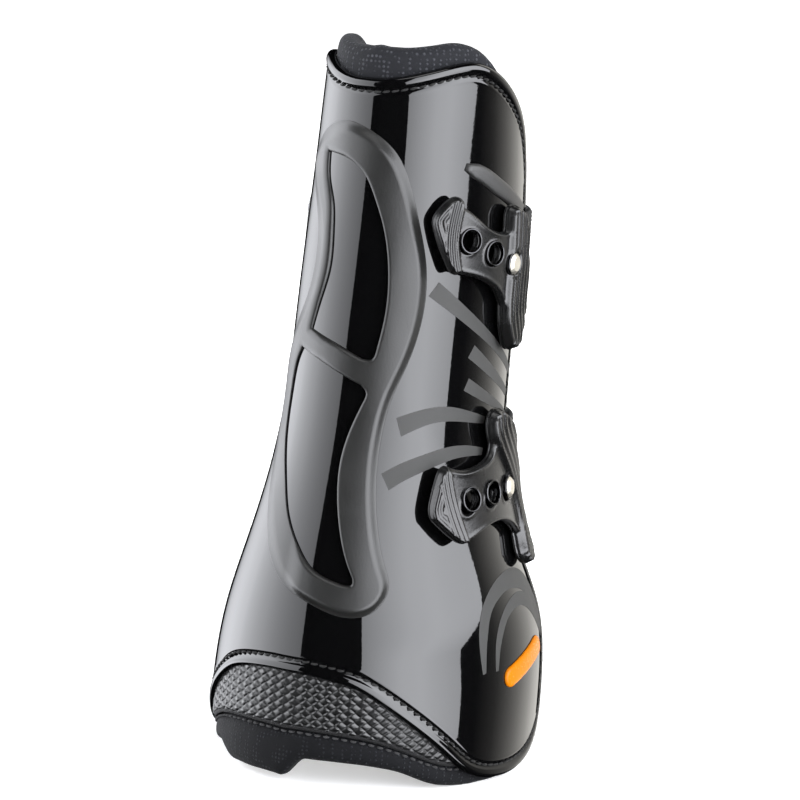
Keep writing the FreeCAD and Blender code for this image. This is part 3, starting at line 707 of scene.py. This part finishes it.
# Much darker than the collar's knit: partly the roll's own darker knit, partly painted shade for its undercut place
# below the shell.
DARK_SHADED_ROLL = mesh_fabric("roll_mesh_painted_shade", (0.0012, 0.0014, 0.0022), (0.018, 0.020, 0.025), 0.0014, 0.42, True)
LINING = mesh_fabric("lining_knit", (0.003, 0.003, 0.004), (0.024, 0.024, 0.027), 0.0021, 0.4)
TAPE = woven("binding_weave", (0.003, 0.003, 0.003), (0.014, 0.014, 0.015))
ELASTIC = woven("elastic_weave", (0.003, 0.003, 0.003), (0.014, 0.014, 0.015), 0.0011)
THREAD = woven("thread", (0.004, 0.004, 0.004), (0.030, 0.030, 0.029), 0.0004)
PALE_THREAD = woven("pale_thread", (0.012, 0.012, 0.012), (0.075, 0.075, 0.078), 0.0004)
WEAVE = satin("weave_satin", (0.004, 0.004, 0.004), 0.36, 2400)
FOAM = satin("impact_foam", (0.02, 0.02, 0.022), 0.9, 700)


# --- shell
def rim_loop(step):
    """The shell's whole edge, unrolled: the outer side's half and its mirror image."""
    half = from_side(curve_through(RIM, 0.4))
    half = half[half[:, 0] > 0.6]
    whole = looped(np.vstack([half[::-1], half * [-1, 1]]))
    chord = chords(whole)
    return along_line(whole, chord, np.arange(0, chord[-1], step))


RIM_LOOP = rim_loop(1.0)
SEAM_DEPTH = 4.45  # from the shell's edge to its sewn groove
THREAD_RADIUS = 0.42
# How far the shell's face rises or dips, by distance from its edge: the bound lip and the sewn groove.
LIP = np.array([(0, -0.9), (0.25, -0.2), (0.7, 0.3), (1.3, 0.55), (2.0, 0.6), (2.7, 0.42), (3.2, 0.1), (3.6, -0.25),
                (4.1, -0.5), (4.7, -0.55), (5.2, -0.4), (5.6, -0.1), (6.2, 0.02), (7.0, 0.0), (200, 0.0)])


def shell_height(points):
    return np.interp(distance(points, [RIM_LOOP]), *LIP.T)


shell = patch("shell_skin", [RIM_LOOP], 1.5, [0.25, 0.6, 1.0, 1.5, 2.0, 2.6, 3.1, 3.6, 4.1, 4.7, 5.2, 5.7, 6.3, 7.2],
              shell_height, SHELL, [(0.05, -1.4), (0.0, -2.1), (-0.3, -2.5), (-0.8, -2.6)], exact_normals=True)
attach(shell, "boot")
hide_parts("outer_shell")


def inner_line(depth):
    """The shell's edge moved inwards on its face."""
    return RIM_LOOP + leftward_of_loop(RIM_LOOP) * (depth if runs_left(RIM_LOOP) else -depth)


rim_thread = stitching("rim_stitching", looped(inner_line(SEAM_DEPTH)), 3.1, 2.5, THREAD_RADIUS, -0.05, THREAD,
                       tilt=6)
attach(rim_thread, "boot")

# --- strike frame
OUTER = from_back(closed_through(FRAME_OUTLINE, 0.8))
WINDOWS = [from_back(chain(sides, 0.6)) for sides in (UPPER_WINDOW, LOWER_WINDOW)]


FRAME_RISE, FRAME_FOOT = 2.1, 0.06  # the band's height, and its off where it runs out
RUN_OUT, INNER_RUN_OUT = 3.4, 3.0  # how wide it runs out, and how much wider towards the inner side


def frame_height(points):
    """A band that runs out softly to the shell outside; its windows are cut clean on the outer side of the leg and
    run out softly towards the inner side."""
    p = points[:, 0]
    outside = distance(points, [OUTER])
    soft = RUN_OUT + INNER_RUN_OUT * ease((6 - p) / 20)
    around = distance(points, WINDOWS)
    inner_side = ease((2 - p) / 8)
    low_side = inner_side * ease((150 - points[:, 1]) / 30)
    edge = 0.45 - 0.38 * inner_side + 0.83 * low_side
    crown = edge + (1 - edge) * dome(around / (1.1 + 1.6 * inner_side))
    tall = FRAME_RISE * (0.6 + 0.4 * ease((p + 16) / 14)) * (1 - 0.6 * low_side)
    return FRAME_FOOT + tall * ease(outside / soft + 0.08) * crown


strike = patch("strike_band", [OUTER] + WINDOWS, 1.3, [0.15, 0.35, 0.6, 0.9, 1.3, 1.9, 2.7, 3.6, 4.8], frame_height,
               FRAME, [(0.0, 0.05)], exact_normals=True)
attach(strike, "boot")
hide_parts("strike_frame")


# --- surface bands and the accent
def band(points, widths):
    """A curve of (degrees, z), unrolled, and the way to the left edge of a strip of changing width along it."""
    line = curve_through(unrolled(*np.array(points, float).T), 1.0)
    half = np.interp(np.linspace(0, 1, len(line)), np.linspace(0, 1, len(widths)), widths)[:, None] / 2
    return line, leftward(np.gradient(line, axis=0)) * half


BAND_OFF = 0.07  # how far a printed band stands off the shell


def band_mesh(points, widths):
    line, to_left = band(points, widths)
    rows = [on_face(*(line + to_left * s).T, BAND_OFF) for s in np.linspace(-1, 1, 5)]
    return np.vstack(rows), grid_faces(len(rows), len(line))


BANDS = [
    ([(47.5, 166.3), (62.6, 159.1), (76.7, 152.4), (98, 142.7), (118, 134)], (5.6, 4.6, 3.8, 3.2, 2.6)),
    ([(73.2, 144.7), (86.1, 138.6), (104.6, 130.7), (114, 127)], (4.8, 4.0, 3.0, 2.4)),
    ([(72, 133.7), (85.8, 128.8), (108.2, 121.7), (116, 119)], (4.4, 3.6, 2.6, 2.2)),
    ([(37.5, 120.5), (47, 123), (56, 124.3), (75.9, 122.6), (88, 120.5)], (6.6, 5.6, 4.8, 3.6, 2.4)),
    ([(34, 102.6), (41, 105.5), (50, 108.1), (67.3, 111.2), (88, 110)], (6.4, 5.8, 5.0, 3.8, 2.4)),
    ([(73, 38), (73.5, 50), (79, 60), (90, 65.5), (104, 65), (116, 56), (123, 42)],
     (1.6, 4.6, 6.2, 6.2, 5.8, 4.8, 3.4)),
    ([(79, 38), (80.5, 47), (87, 55.5), (97, 59), (108, 55.5), (118, 43)], (1.4, 3.6, 4.4, 4.4, 4.0, 2.8)),
]
pieces = [band_mesh(points, widths) for points, widths in BANDS]
mirrored = [([(-a, z) for a, z in points][::-1], widths[::-1]) for points, widths in BANDS[1:3] + BANDS[5:]]
mirrored.append(([(-62, 47), (-66, 53), (-72, 58), (-80, 61)], (2.5, 4.0, 4.0, 3.0)))
pieces += [band_mesh(points, widths) for points, widths in mirrored]
bands = merged("surface_bands", pieces, BAND)
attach(bands, "boot")

RIB_LINE = [(59.5, 206.8), (65.5, 205.3), (72.8, 203.1), (81, 199.8), (89.7, 196.7), (98.8, 193.2), (108, 190)]
rib_line, rib_left = band(RIB_LINE, (2.4, 5.2, 5.6, 5.8, 5.8, 5.6, 5.4, 5.2, 5.0))
RIB = np.vstack([rib_line + rib_left, (rib_line - rib_left)[::-1]])
rib = patch("raised_rib", [RIB], 0.9, [0.2, 0.5, 0.9, 1.4],
            lambda q: 0.1 + 1.3 * dome(distance(q, [RIB]) / 1.7), RIB_SATIN, [(0.0, -0.1)])
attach(rib, "boot")


def capsule(centre, length, width, tilt):
    """The outline of a rounded bar in the side view."""
    turn = math.radians(tilt)
    along, across = np.array([math.cos(turn), math.sin(turn)]), np.array([-math.sin(turn), math.cos(turn)])
    ends = np.linspace(-math.pi / 2, math.pi / 2, 14)
    shape = [((length - width) / 2 + width / 2 * math.cos(t), width / 2 * math.sin(t)) for t in ends]
    shape += [(-u, -v) for u, v in shape]
    return np.array([np.array(centre) + along * u + across * v for u, v in shape])


BADGE = from_side(polygon(capsule((12, 38), 30, 7, 16)))
badge = patch("accent_bar", [BADGE], 0.9, [0.2, 0.5, 0.9, 1.4],
              lambda q: 0.2 + 1.0 * dome(distance(q, [BADGE]) / 1.6), ORANGE, [(0.0, 0.05)])
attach(badge, "boot")
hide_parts("accent_badge")


# --- padding
def wobble(p, z, seed):
    """A slow unevenness between -1 and 1, for padded edges."""
    slow, cross, quick = p * 0.11 + seed, p * 0.23 + 1.7 * seed + z * 0.05, p * 0.47 + 2.3 * seed
    return (np.sin(slow) + np.sin(cross) + 0.6 * np.sin(quick)) / 2.6


def side_line(points, span, count):
    """z along the boot's back from one front end to the other, for a curve drawn in the side view, by angle."""
    fine = curve_through(points, 0.5)
    angle = side_angle(*fine.T)
    keep = np.r_[True, np.diff(np.maximum.accumulate(angle)) > 1e-6]
    angles = np.linspace(-span, span, count)
    return angles, np.interp(abs(angles), angle[keep], fine[keep, 1])


FLOOR_DIP = -0.4  # the lowest that padding may press down
SQUARE = 2.6  # power of a roll's section, between an ellipse's 2 and a rectangle


def roll(name, top, foot, span, outer, inner, finish, seed, taper, top_out=0.0, sag=0.0):
    """A stuffed roll between two lines, from outer to inner below the shell's face, whose ends close over `taper`
    degrees. top_out moves its top outwards and sag lets its foot hang lower at the back."""
    angles, high = side_line(top, span, 260)
    _, low = side_line(foot, span, 260)
    low = low - sag * ease((angles + 48) / 18) * ease((9 - angles) / 12)
    around = lap(36)
    c, s = np.cos(around), np.sin(around)
    across = np.sign(c) * abs(c) ** (2 / SQUARE)
    rise = np.sign(s) * abs(s) ** (2 / SQUARE)
    rows = []
    for angle, upper, lower in zip(angles, high, low):
        end = dome((span - abs(angle)) / taper + 0.02)
        mid, half = (upper + lower) / 2, (upper - lower) / 2
        p0 = float(arc(angle, mid))
        swell = 1 + 0.035 * wobble(p0, mid, seed)
        depth = (outer + inner) / 2 + across * (inner - outer) / 2 * (0.55 + 0.45 * end) * swell
        z = mid + rise * half * (0.6 + 0.4 * end) * (1 + 0.02 * wobble(p0, mid, seed + 4))
        z = np.maximum(z, FLOOR_DIP)
        rows.append(on_face(arc(angle, z), z, top_out * ease(rise) - depth))
    return merged(name, [tube(rows)], finish)


collar = roll("collar_roll", COLLAR_TOP, COLLAR_FOOT, 101, 2.9, 12.2, COLLAR, seed=1.0, taper=10, top_out=0.6)
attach(collar, "boot")
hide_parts("top_collar")

bottom = roll("bottom_roll_pad", ROLL_SEAM, ROLL_BOTTOM, 116, 2.6, 12.2, DARK_SHADED_ROLL, seed=3.0, taper=6, sag=7.0)
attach(bottom, "boot")
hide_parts("bottom_roll")


CELL = 3.0  # across a strand of the weave
STEEP = 1.4  # the diamonds' width, in heights


def weave_relief(p, z):
    """A diagonal basket weave: diamond cells, each crowned across its own strand."""
    u, v = (p + z * STEEP) / (CELL * 1.41), (p - z * STEEP) / (CELL * 1.41)
    i, j = np.floor(u), np.floor(v)
    fu, fv = u - i - 0.5, v - j - 0.5
    over = (i + j) % 2 == 0
    across, length = np.where(over, fv, fu), np.where(over, fu, fv)
    crown = (1 - (2 * abs(across)) ** 3) * (1 - 0.6 * (2 * abs(length)) ** 6)
    return 0.55 * crown + 0.5 * length * np.where(over, 1, -1) * crown


def woven_panel(name, low, high, span, outer, inner, finish, count=460, rows_up=120, edge=2.0):
    """A closed pad between two lines, woven on its outer face and rounded over `edge` at its borders."""
    angles, top = side_line(high, span, count)
    _, foot = side_line(low, span, count)
    share = np.linspace(0, 1, rows_up)
    z = foot[:, None] + (top - foot)[:, None] * share
    p = arc(angles[:, None], z)
    ends = np.minimum(np.arange(count), np.arange(count)[::-1])[:, None] * (2 * span / count * 0.75)
    levels = np.minimum(share, 1 - share) * (top - foot)[:, None]
    fat = dome(np.minimum(ends, levels) / edge + 0.02)
    mid, half = (outer + inner) / 2, (inner - outer) / 2
    front = on_face(p, z, -(mid - half * fat) + weave_relief(p, z))
    back = on_face(p, z, -(mid + half * fat))
    size = count * rows_up
    faces = []
    for a, b, c, d in grid_faces(count, rows_up):
        faces += [[a, d, c, b], [a + size, b + size, c + size, d + size]]
    border = [i * rows_up for i in range(count)] + [(count - 1) * rows_up + j for j in range(1, rows_up)]
    border += [i * rows_up + rows_up - 1 for i in range(count - 2, -1, -1)] + list(range(rows_up - 2, 0, -1))
    faces += [[a, a + size, b + size, b] for a, b in zip(border, border[1:] + border[:1])]
    return new_object(name, np.vstack([front.reshape(-1, 3), back.reshape(-1, 3)]), faces, finish)


RIM_SCOOP = [(-80, 44), (-58, 43.5), (-51.5, 40), (-46.5, 35), (-39, 27), (-30, 18), (-20, 9.5), (-12, 8.6)]
panel = woven_panel("weave_panel_skin", ROLL_SEAM, RIM_SCOOP, 72, 1.6, 4.2, WEAVE)
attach(panel, "boot")
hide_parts("fetlock_panel")

seam = unrolled(*side_line(ROLL_SEAM, 100, 260))
seam_tape = merged("roll_binding", [swept(seam + [0, 0.9], oval(1.7, 0.75, -2.35, 12))], TAPE)
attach(seam_tape, "boot")
seam_thread = stitching("roll_stitching", seam - [0, 1.9], 3.2, 2.2, THREAD_RADIUS, -2.45, PALE_THREAD)
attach(seam_thread, "boot")


LINER_LOOP = inner_line(2.9)
CHANNEL = 34.0  # from one sewn channel of the liner to the next
LINER_DEPTH = 10.4  # of the liner's edge, below the shell's face


def liner_height(points):
    """The liner's face against the leg, with shallow sewn channels and a soft swell between them."""
    channel = np.abs(((points[:, 1] + 6) % CHANNEL) * 2 / CHANNEL - 1)
    swell = 0.6 * (1 - channel**6) + 0.15 * wobble(points[:, 0], points[:, 1], 2.0)
    return -(LINER_DEPTH + (0.4 + swell) * dome(distance(points, [LINER_LOOP]) / 5))


LINER_CUT = LINER_LOOP[LINER_LOOP[:, 1] > 9.5]
liner = patch("liner_pad", [LINER_CUT], 2.2, [0.4, 1.0, 2.0, 3.4, 5.0], liner_height, LINING,
              [(0.25, -9.4), (0.3, -8.2), (0.25, -6.8), (0.0, -6.0)])
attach(liner, "boot")
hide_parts("neoprene_liner", "leg_lining")

# --- front edge binding
FRONT = RIM[6:17]
# Section of the tape that wraps the front edge: distance outwards past the edge, off.
TAPE_SECTION = np.array([
    (1.0, -2.75), (0.5, -4.2), (0.3, -6.5), (0.35, -9.0), (0.9, -11.2), (2.2, -12.3), (3.6, -12.2), (4.6, -11.7),
    (4.7, -11.3), (3.4, -10.9), (2.4, -10.0), (2.1, -8.0), (2.1, -5.5), (2.3, -3.9), (2.6, -2.8),
])
binding = merged("edge_binding", [
    swept(from_side(curve_through(FRONT, 1.0), side), (TAPE_SECTION * [-side, 1])[::side]) for side in (1, -1)
], TAPE)
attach(binding, "boot")
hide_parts("front_edge_binding")


# --- straps
def shell_point(angle, z):
    return on_face(arc(angle, z), z, 0.0).reshape(3)


def shell_normal(angle, z):
    along = shell_point(angle + 0.5, z) - shell_point(angle - 0.5, z)
    up = shell_point(angle, z + 0.5) - shell_point(angle, z - 0.5)
    n = np.cross(along, up)
    return n / np.linalg.norm(n)


def hole_frames(strap):
    """Foot and direction of each hole of a tab, the stud's own last."""
    made = [(shell_point(a, z), shell_normal(a, z)) for a, z in strap["holes"]]
    foot, normal = made[-1]
    way = np.cross(strap["axis"], foot + normal * 3.5 - np.array(strap["pivot"]))
    made[-1] = (foot, way / np.linalg.norm(way))
    return made


def joined_outline(parts, step):
    """The outline of several overlapping loops together, by walking round a fine mask of their union."""
    spots = np.vstack(parts)
    low = spots.min(0) - 2
    size = np.ceil((spots.max(0) + 2 - low) / step).astype(int)
    x = low[0] + np.arange(size[0]) * step
    y = low[1] + np.arange(size[1]) * step
    gx, gy = np.meshgrid(x, y, indexing="ij")
    grid = np.stack([gx.ravel(), gy.ravel()], -1)
    return contour(np.max([signed(grid, [part]) for part in parts], axis=0).reshape(gx.shape), x, y)


def contour(field, x, y):
    """The longest closed zero line of a field on a grid, by marching squares."""
    links = {}
    for i in range(len(x) - 1):
        for j in range(len(y) - 1):
            corners = [(i, j), (i + 1, j), (i + 1, j + 1), (i, j + 1)]
            sides = zip(corners, corners[1:] + corners[:1])
            cuts = [(min(side), max(side)) for side in sides if (field[side[0]] > 0) != (field[side[1]] > 0)]
            for a, b in zip(cuts[::2], cuts[1::2]):
                links.setdefault(a, []).append(b)
                links.setdefault(b, []).append(a)
    best, seen = [], set()
    for start in links:
        walk, onward = [], [start] if start not in seen else []
        while onward:
            walk.append(onward[0])
            seen.add(onward[0])
            onward = [cell for cell in links[walk[-1]] if cell not in seen]
        best = max(best, walk, key=len)
    (i, j), (k, l) = np.array(best).transpose(1, 2, 0)
    t = field[i, j] / (field[i, j] - field[k, l])
    return np.stack([x[i] + t * (x[k] - x[i]), y[j] + t * (y[l] - y[j])], -1)


def smooth_loop(loop, step, rounds):
    """A loop evened out and resampled."""
    for _ in range(rounds):
        loop = loop * 0.5 + (np.roll(loop, 1, 0) + np.roll(loop, -1, 0)) * 0.25
    ring = looped(loop)
    chord = chords(ring)
    return along_line(ring, chord, np.arange(0, chord[-1] - step / 2, step))


WEB_OFF, BAR_OFF, GRIP_OFF = 4.2, 6.8, 6.2  # where each outline of a tab is drawn, above its lifted foot
WEB_TOP, BAR_TOP, GRIP_TOP = 4.0, 5.7, 6.0
GROOVE, GROOVE_PITCH = 0.34, 2.5  # along the bar: half depth and spacing
RIDGE, FRONT_PITCH, REAR_PITCH = 0.26, 1.36, 1.8  # on the grip, beside its hollow
FRONT_RIDGES = 4.5  # how far the front ridges reach
HOLLOW = 1.3
HOLE_RADIUS, HOLE_SQUEEZE = 4.05, 0.86  # a hole's radius, and its width's share of its height on the unrolled face
BEAD, BEAD_HEIGHT = 0.42, 4.6  # an eyelet's rolled lip


def make_tab(name, strap):
    """The tab: a web, a grip with ridges and a leaf-shaped hollow, and a grooved clamp bar."""
    turn, lift_turn = strap["plane_turn"], strap["lift_turn"]

    def on_tab(points, off):
        return from_plane(points, turn, off, lift_turn)

    web = on_tab(chain(strap["web"], 0.6), WEB_OFF)
    bar = on_tab(chain(strap["bar"], 0.6), BAR_OFF)
    grip = on_tab(chain(strap["grip"], 0.6), GRIP_OFF)
    bar_rear = on_tab(curve_through(strap["bar"][0]), BAR_OFF)
    grip_front = on_tab(curve_through(strap["grip"][0]), GRIP_OFF)
    grip_rear = on_tab(chain(strap["grip"][2:]), GRIP_OFF)
    outline = smooth_loop(joined_outline([web, bar, grip], 0.35), 0.5, 14)
    around = lap(36)
    ring = np.stack([np.cos(around) * HOLE_SQUEEZE, np.sin(around)], -1) * HOLE_RADIUS
    holes = [unrolled(angle, z) + ring for angle, z in strap["holes"]]

    def place(p, z, off):
        rise = tab_lift(angle_at(p, z), lift_turn)
        return on_face(p, z, off + rise + 0.5 * rise * np.clip(1 - off / 3, 0, 1))

    def height(q):
        edge = distance(q, [outline])
        in_bar, in_grip = signed(q, [bar]), signed(q, [grip])
        rounding = 1 - dome(edge / 1.3)
        base = WEB_TOP + 0.22 * np.exp(-((edge - 0.75) / 0.45) ** 2) - 0.5 * (1 - dome(edge / 0.6))
        base += 0.2 * np.exp(-((distance(q, holes) - 0.5) / 0.4) ** 2)
        to_rear = distance(q, [bar_rear], closed=False)
        grooves = GROOVE * np.cos(2 * np.pi * (to_rear - 1.0) / GROOVE_PITCH) * ease((in_bar - 0.2) / 0.6)
        bar_top = BAR_TOP + grooves - 1.1 * rounding
        to_front, to_back = (distance(q, [line], closed=False) for line in (grip_front, grip_rear))
        ridges = np.where(to_front < FRONT_RIDGES, np.cos(2 * np.pi * (to_front - 0.7) / FRONT_PITCH),
                          np.cos(2 * np.pi * (to_back - 0.9) / REAR_PITCH))
        hollow = HOLLOW * ease(np.minimum(to_front - 5.0, to_back - 2.9) / 0.5)
        grip_top = GRIP_TOP + RIDGE * ridges * ease((in_grip - 0.2) / 0.4) - hollow - 1.1 * rounding
        for top, depth, run in ((bar_top, in_bar, 1.8), (grip_top, in_grip, 0.9)):
            base = np.where(depth > -0.4, base + (top - base) * ease((depth + 0.4) / run), base)
        return base

    # The side: an undercut line below the top's edge, then straight down to the foot.
    wall = [(0.35, (-0.5, 1)), (0.45, (-1.1, 1)), (0.3, (-1.55, 1)), (0.05, (-1.75, 1)), (0.3, (-2.0, 1)),
            (0.45, 1.2), (0.3, 0.7), (0.0, 0.42)]
    tab = patch(f"{name}_tab_moulding", [outline] + holes, 0.55, [0.2, 0.45, 0.75, 1.1], height, TAB, wall,
                dense=(lambda q: signed(q, [grip]) > 0.5, 0.36), place=place)
    body = f"{name}_strap"
    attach(tab, body)
    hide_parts(f"{name}_strap_tab")

    bead = np.linspace(-0.3, math.pi + 0.3, 12)
    lip = [(4.0 + BEAD * math.cos(t), BEAD_HEIGHT + 0.45 * math.sin(t)) for t in bead]
    rings = [lathe([(3.58, 1.0), (4.1, 1.0)] + lip, foot + way * tab_lift(angle, lift_turn), way)
             for (foot, way), (angle, _) in zip(hole_frames(strap), strap["holes"])]
    eyelets = merged(f"{name}_eyelet_rings", rings, RING)
    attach(eyelets, body)
    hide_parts(f"{name}_tab_eyelets")


ELASTIC_OFF, ELASTIC_HALF = 1.8, 1.0  # the elastic's middle above the shell's face, and half its thickness
WEFT, WEFT_PITCH = 0.13, 1.35  # height and spacing of its ribs


def make_elastic(name, strap):
    """The elastic: a thick ribbed band from under the anchor plate, across the open front, to under the bar."""
    (y_low, z_low), (y_high, z_high) = strap["elastic"]
    levels = np.linspace(0, 1, 150)
    z_rows = z_low + (z_high - z_low) * levels
    a, b, y0 = section(z_rows)
    bar_angle = side_angle(y_low + (y_high - y_low) * levels, z_rows)
    ribs = WEFT * np.cos(2 * np.pi * (z_rows - z_low) / WEFT_PITCH)
    edge = dome(np.minimum(levels, 1 - levels) * (z_high - z_low) / 1.1 + 0.05)
    outer, inner = [], []
    for s in np.linspace(0, 1, 170):
        turn = np.radians(bar_angle + (360 - 2 * bar_angle) * s)
        crimp = 0.05 * np.sin(2 * np.pi * s * 60 + z_rows * 3.1)
        for store, off in ((outer, ELASTIC_OFF + (ELASTIC_HALF + ribs + crimp) * edge),
                           (inner, ELASTIC_OFF - (ELASTIC_HALF + ribs * 0.6) * edge)):
            store.append(np.stack([(a + off) * np.sin(turn), y0 - (b + off) * np.cos(turn), z_rows], -1))
    rows = [np.vstack([o, i[::-1]]) for o, i in zip(outer, inner)]
    made = merged(f"{name}_elastic_web", [tube(rows)], ELASTIC)
    length = float(chords(np.array(outer)[:, len(levels) // 2])[-1]) * MM
    pivot = np.array(strap["pivot"]) - CENTRE
    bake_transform(made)
    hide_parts(f"{name}_elastic")


def make_anchor(name, strap):
    """The ridged plate that clamps the elastic to the inner side of the shell."""
    outline = smooth_loop(from_side(polygon(strap["anchor"]), -1), 0.8, 30)

    def height(q):
        edge = distance(q, [outline])
        ridges = 0.28 * np.cos(2 * np.pi * (edge - 1.1) / 3.0) * ease(edge / 1.2) * ease((7.0 - edge) / 1.5)
        return 5.0 + ridges - 0.9 * (1 - dome(edge / 1.4))

    plate = patch(f"{name}_anchor_moulding", [outline], 0.9, [0.25, 0.6, 1.0, 1.5], height, TAB,
                  [(0.2, 3.4), (0.25, 1.8), (0.1, 0.9), (0.0, 0.15)])
    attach(plate, "boot")
    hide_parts(f"{name}_anchor_plate")


for strap_name, strap_facts in STRAPS.items():
    make_tab(strap_name, strap_facts)
    make_elastic(strap_name, strap_facts)
    make_anchor(strap_name, strap_facts)

# --- CAD nodes that stay
for node_name, finish in (("upper_stud", CHROME), ("lower_stud", CHROME), ("upper_stud_washer", STEEL),
                          ("lower_stud_washer", STEEL), ("upper_anchor_rivets", STEEL),
                          ("lower_anchor_rivets", STEEL), ("impact_sheet", FOAM)):
    mesh = nodes[node_name].data
    mesh.materials.clear()
    mesh.materials.append(finish)


# --- stage, light and camera
def stage_material(name, grey):
    """A plain pale surface that glows, so that it stays near white."""
    made = material(name, (grey, grey, grey), 0.9, specular=0.1)
    shader_of(made).inputs["Emission Color"].default_value = (1, 1, 1, 1)
    shader_of(made).inputs["Emission Strength"].default_value = 1.0
    return made


FLOOR = stage_material("floor_white", 0.8)
reach = add(FLOOR, "ShaderNodeVectorMath", operation="LENGTH")
link(FLOOR, coordinates(FLOOR), reach.inputs[0])
glow = ramp(FLOOR, reach.outputs["Value"], 0.12, 0.9, 0.45, 1.0)  # rises away from the boot, to the backdrop's own
link(FLOOR, glow, shader_of(FLOOR).inputs["Emission Strength"])

bpy.ops.mesh.primitive_circle_add(vertices=96, radius=5.0, fill_type="NGON", location=(0, 0, -0.0006))
floor = bpy.context.object
floor.name = "floor"
floor.data.materials.append(FLOOR)
bpy.ops.mesh.primitive_uv_sphere_add(segments=64, ring_count=32, radius=5.0, location=(0, 0, 0))
sky = bpy.context.object
sky.name = "backdrop"
sky.data.materials.append(stage_material("backdrop_white", 0.5))
sky.visible_diffuse = False
for piece in (floor, sky):
    piece.visible_glossy = False

world = bpy.context.scene.world or bpy.data.worlds.new("dark")
bpy.context.scene.world = world
world.use_nodes = True
world.node_tree.nodes["Background"].inputs[0].default_value = (0.0, 0.0, 0.0, 1)

TARGET = Vector((-0.00055, 0.00842, 0.122))
AZIMUTH, ELEVATION, CAMERA_ROLL = 30, 10, math.radians(3)
REACH = 1.2  # from the camera to the target, in metres


def direction(azimuth, elevation):
    """Unit vector from the boot towards a point at an angle to the camera's right, seen from the boot."""
    turn = math.radians(AZIMUTH + azimuth)
    rise = math.radians(elevation)
    return Vector((math.sin(turn) * math.cos(rise), -math.cos(turn) * math.cos(rise), math.sin(rise)))


def softbox(name, turns, rises, away, glow, colour, lean=0.0, flare=0.0):
    """A glowing panel round the boot: turns and rises are its range of angles from the camera's side, glow its
    brightness at even steps across it, lean how far its foot is turned to the right, flare how far its upper
    part reaches on to the right."""
    made = bpy.data.materials.new(name)
    made.use_nodes = True
    made.node_tree.nodes.clear()
    light = add(made, "ShaderNodeEmission", Color=(*colour, 1))
    link(made, add(made, "ShaderNodeAttribute", attribute_name="glow").outputs["Fac"], light.inputs["Strength"])
    link(made, light.outputs[0], add(made, "ShaderNodeOutputMaterial").inputs["Surface"])
    across, up = 24, 28
    verts, values = [], []
    for i in range(across + 1):
        for j in range(up + 1):
            rise = rises[0] + (rises[1] - rises[0]) * j / up
            right = turns[1] + flare * float(ease((rise - 1) / 8))
            turn = turns[0] + (right - turns[0]) * i / across - lean * j / up
            verts.append(tuple(TARGET + direction(turn, rise) * away))
            values.append(float(np.interp(i / across, np.linspace(0, 1, len(glow)), glow)))
    mesh = bpy.data.meshes.new(name)
    mesh.from_pydata(verts, [], grid_faces(across + 1, up + 1))
    mesh.attributes.new("glow", "FLOAT", "POINT").data.foreach_set("value", values)
    mesh.materials.append(made)
    panel = bpy.data.objects.new(name, mesh)
    panel.visible_camera = False
    bpy.context.scene.collection.objects.link(panel)


COOL, WARM = (0.94, 0.955, 1.0), (1.0, 0.975, 0.92)
softbox("softbox_front", (4, 73), (-28, 42), 2.6, (5.0, 7.2, 9.2, 9.6, 8.2, 6.6), COOL, 4, 27)
softbox("softbox_left", (-160, -48), (-28, 42), 2.6, (0.5, 2.6, 4.6, 6.2, 6.4, 6.0, 4.8, 3.7, 2.8), COOL)
softbox("softbox_rear", (84, 160), (-28, 42), 2.7, (0.0, 0.25, 0.9, 1.5, 1.7, 1.3), WARM)

top_data = bpy.data.lights.new("top_light", "AREA")
top_data.shape, top_data.size, top_data.energy = "DISK", 0.9, 5.0
top_light = bpy.data.objects.new("top_light", top_data)
top_light.location = (0.1, -0.3, 1.7)
bpy.context.scene.collection.objects.link(top_light)

camera_data = bpy.data.cameras.new("camera")
camera = bpy.data.objects.new("camera", camera_data)
bpy.context.scene.collection.objects.link(camera)
camera.location = TARGET + direction(0, ELEVATION) * REACH
look = (TARGET - camera.location).to_track_quat("-Z", "Y").to_matrix().to_4x4()
camera.matrix_world = Matrix.Translation(camera.location) @ look @ Matrix.Rotation(CAMERA_ROLL, 4, "Z")
camera_data.lens = 156.5
camera_data.sensor_width = 36.0
camera_data.clip_end = 50
bpy.context.scene.camera = camera
bpy.context.scene.view_settings.view_transform = "Standard"
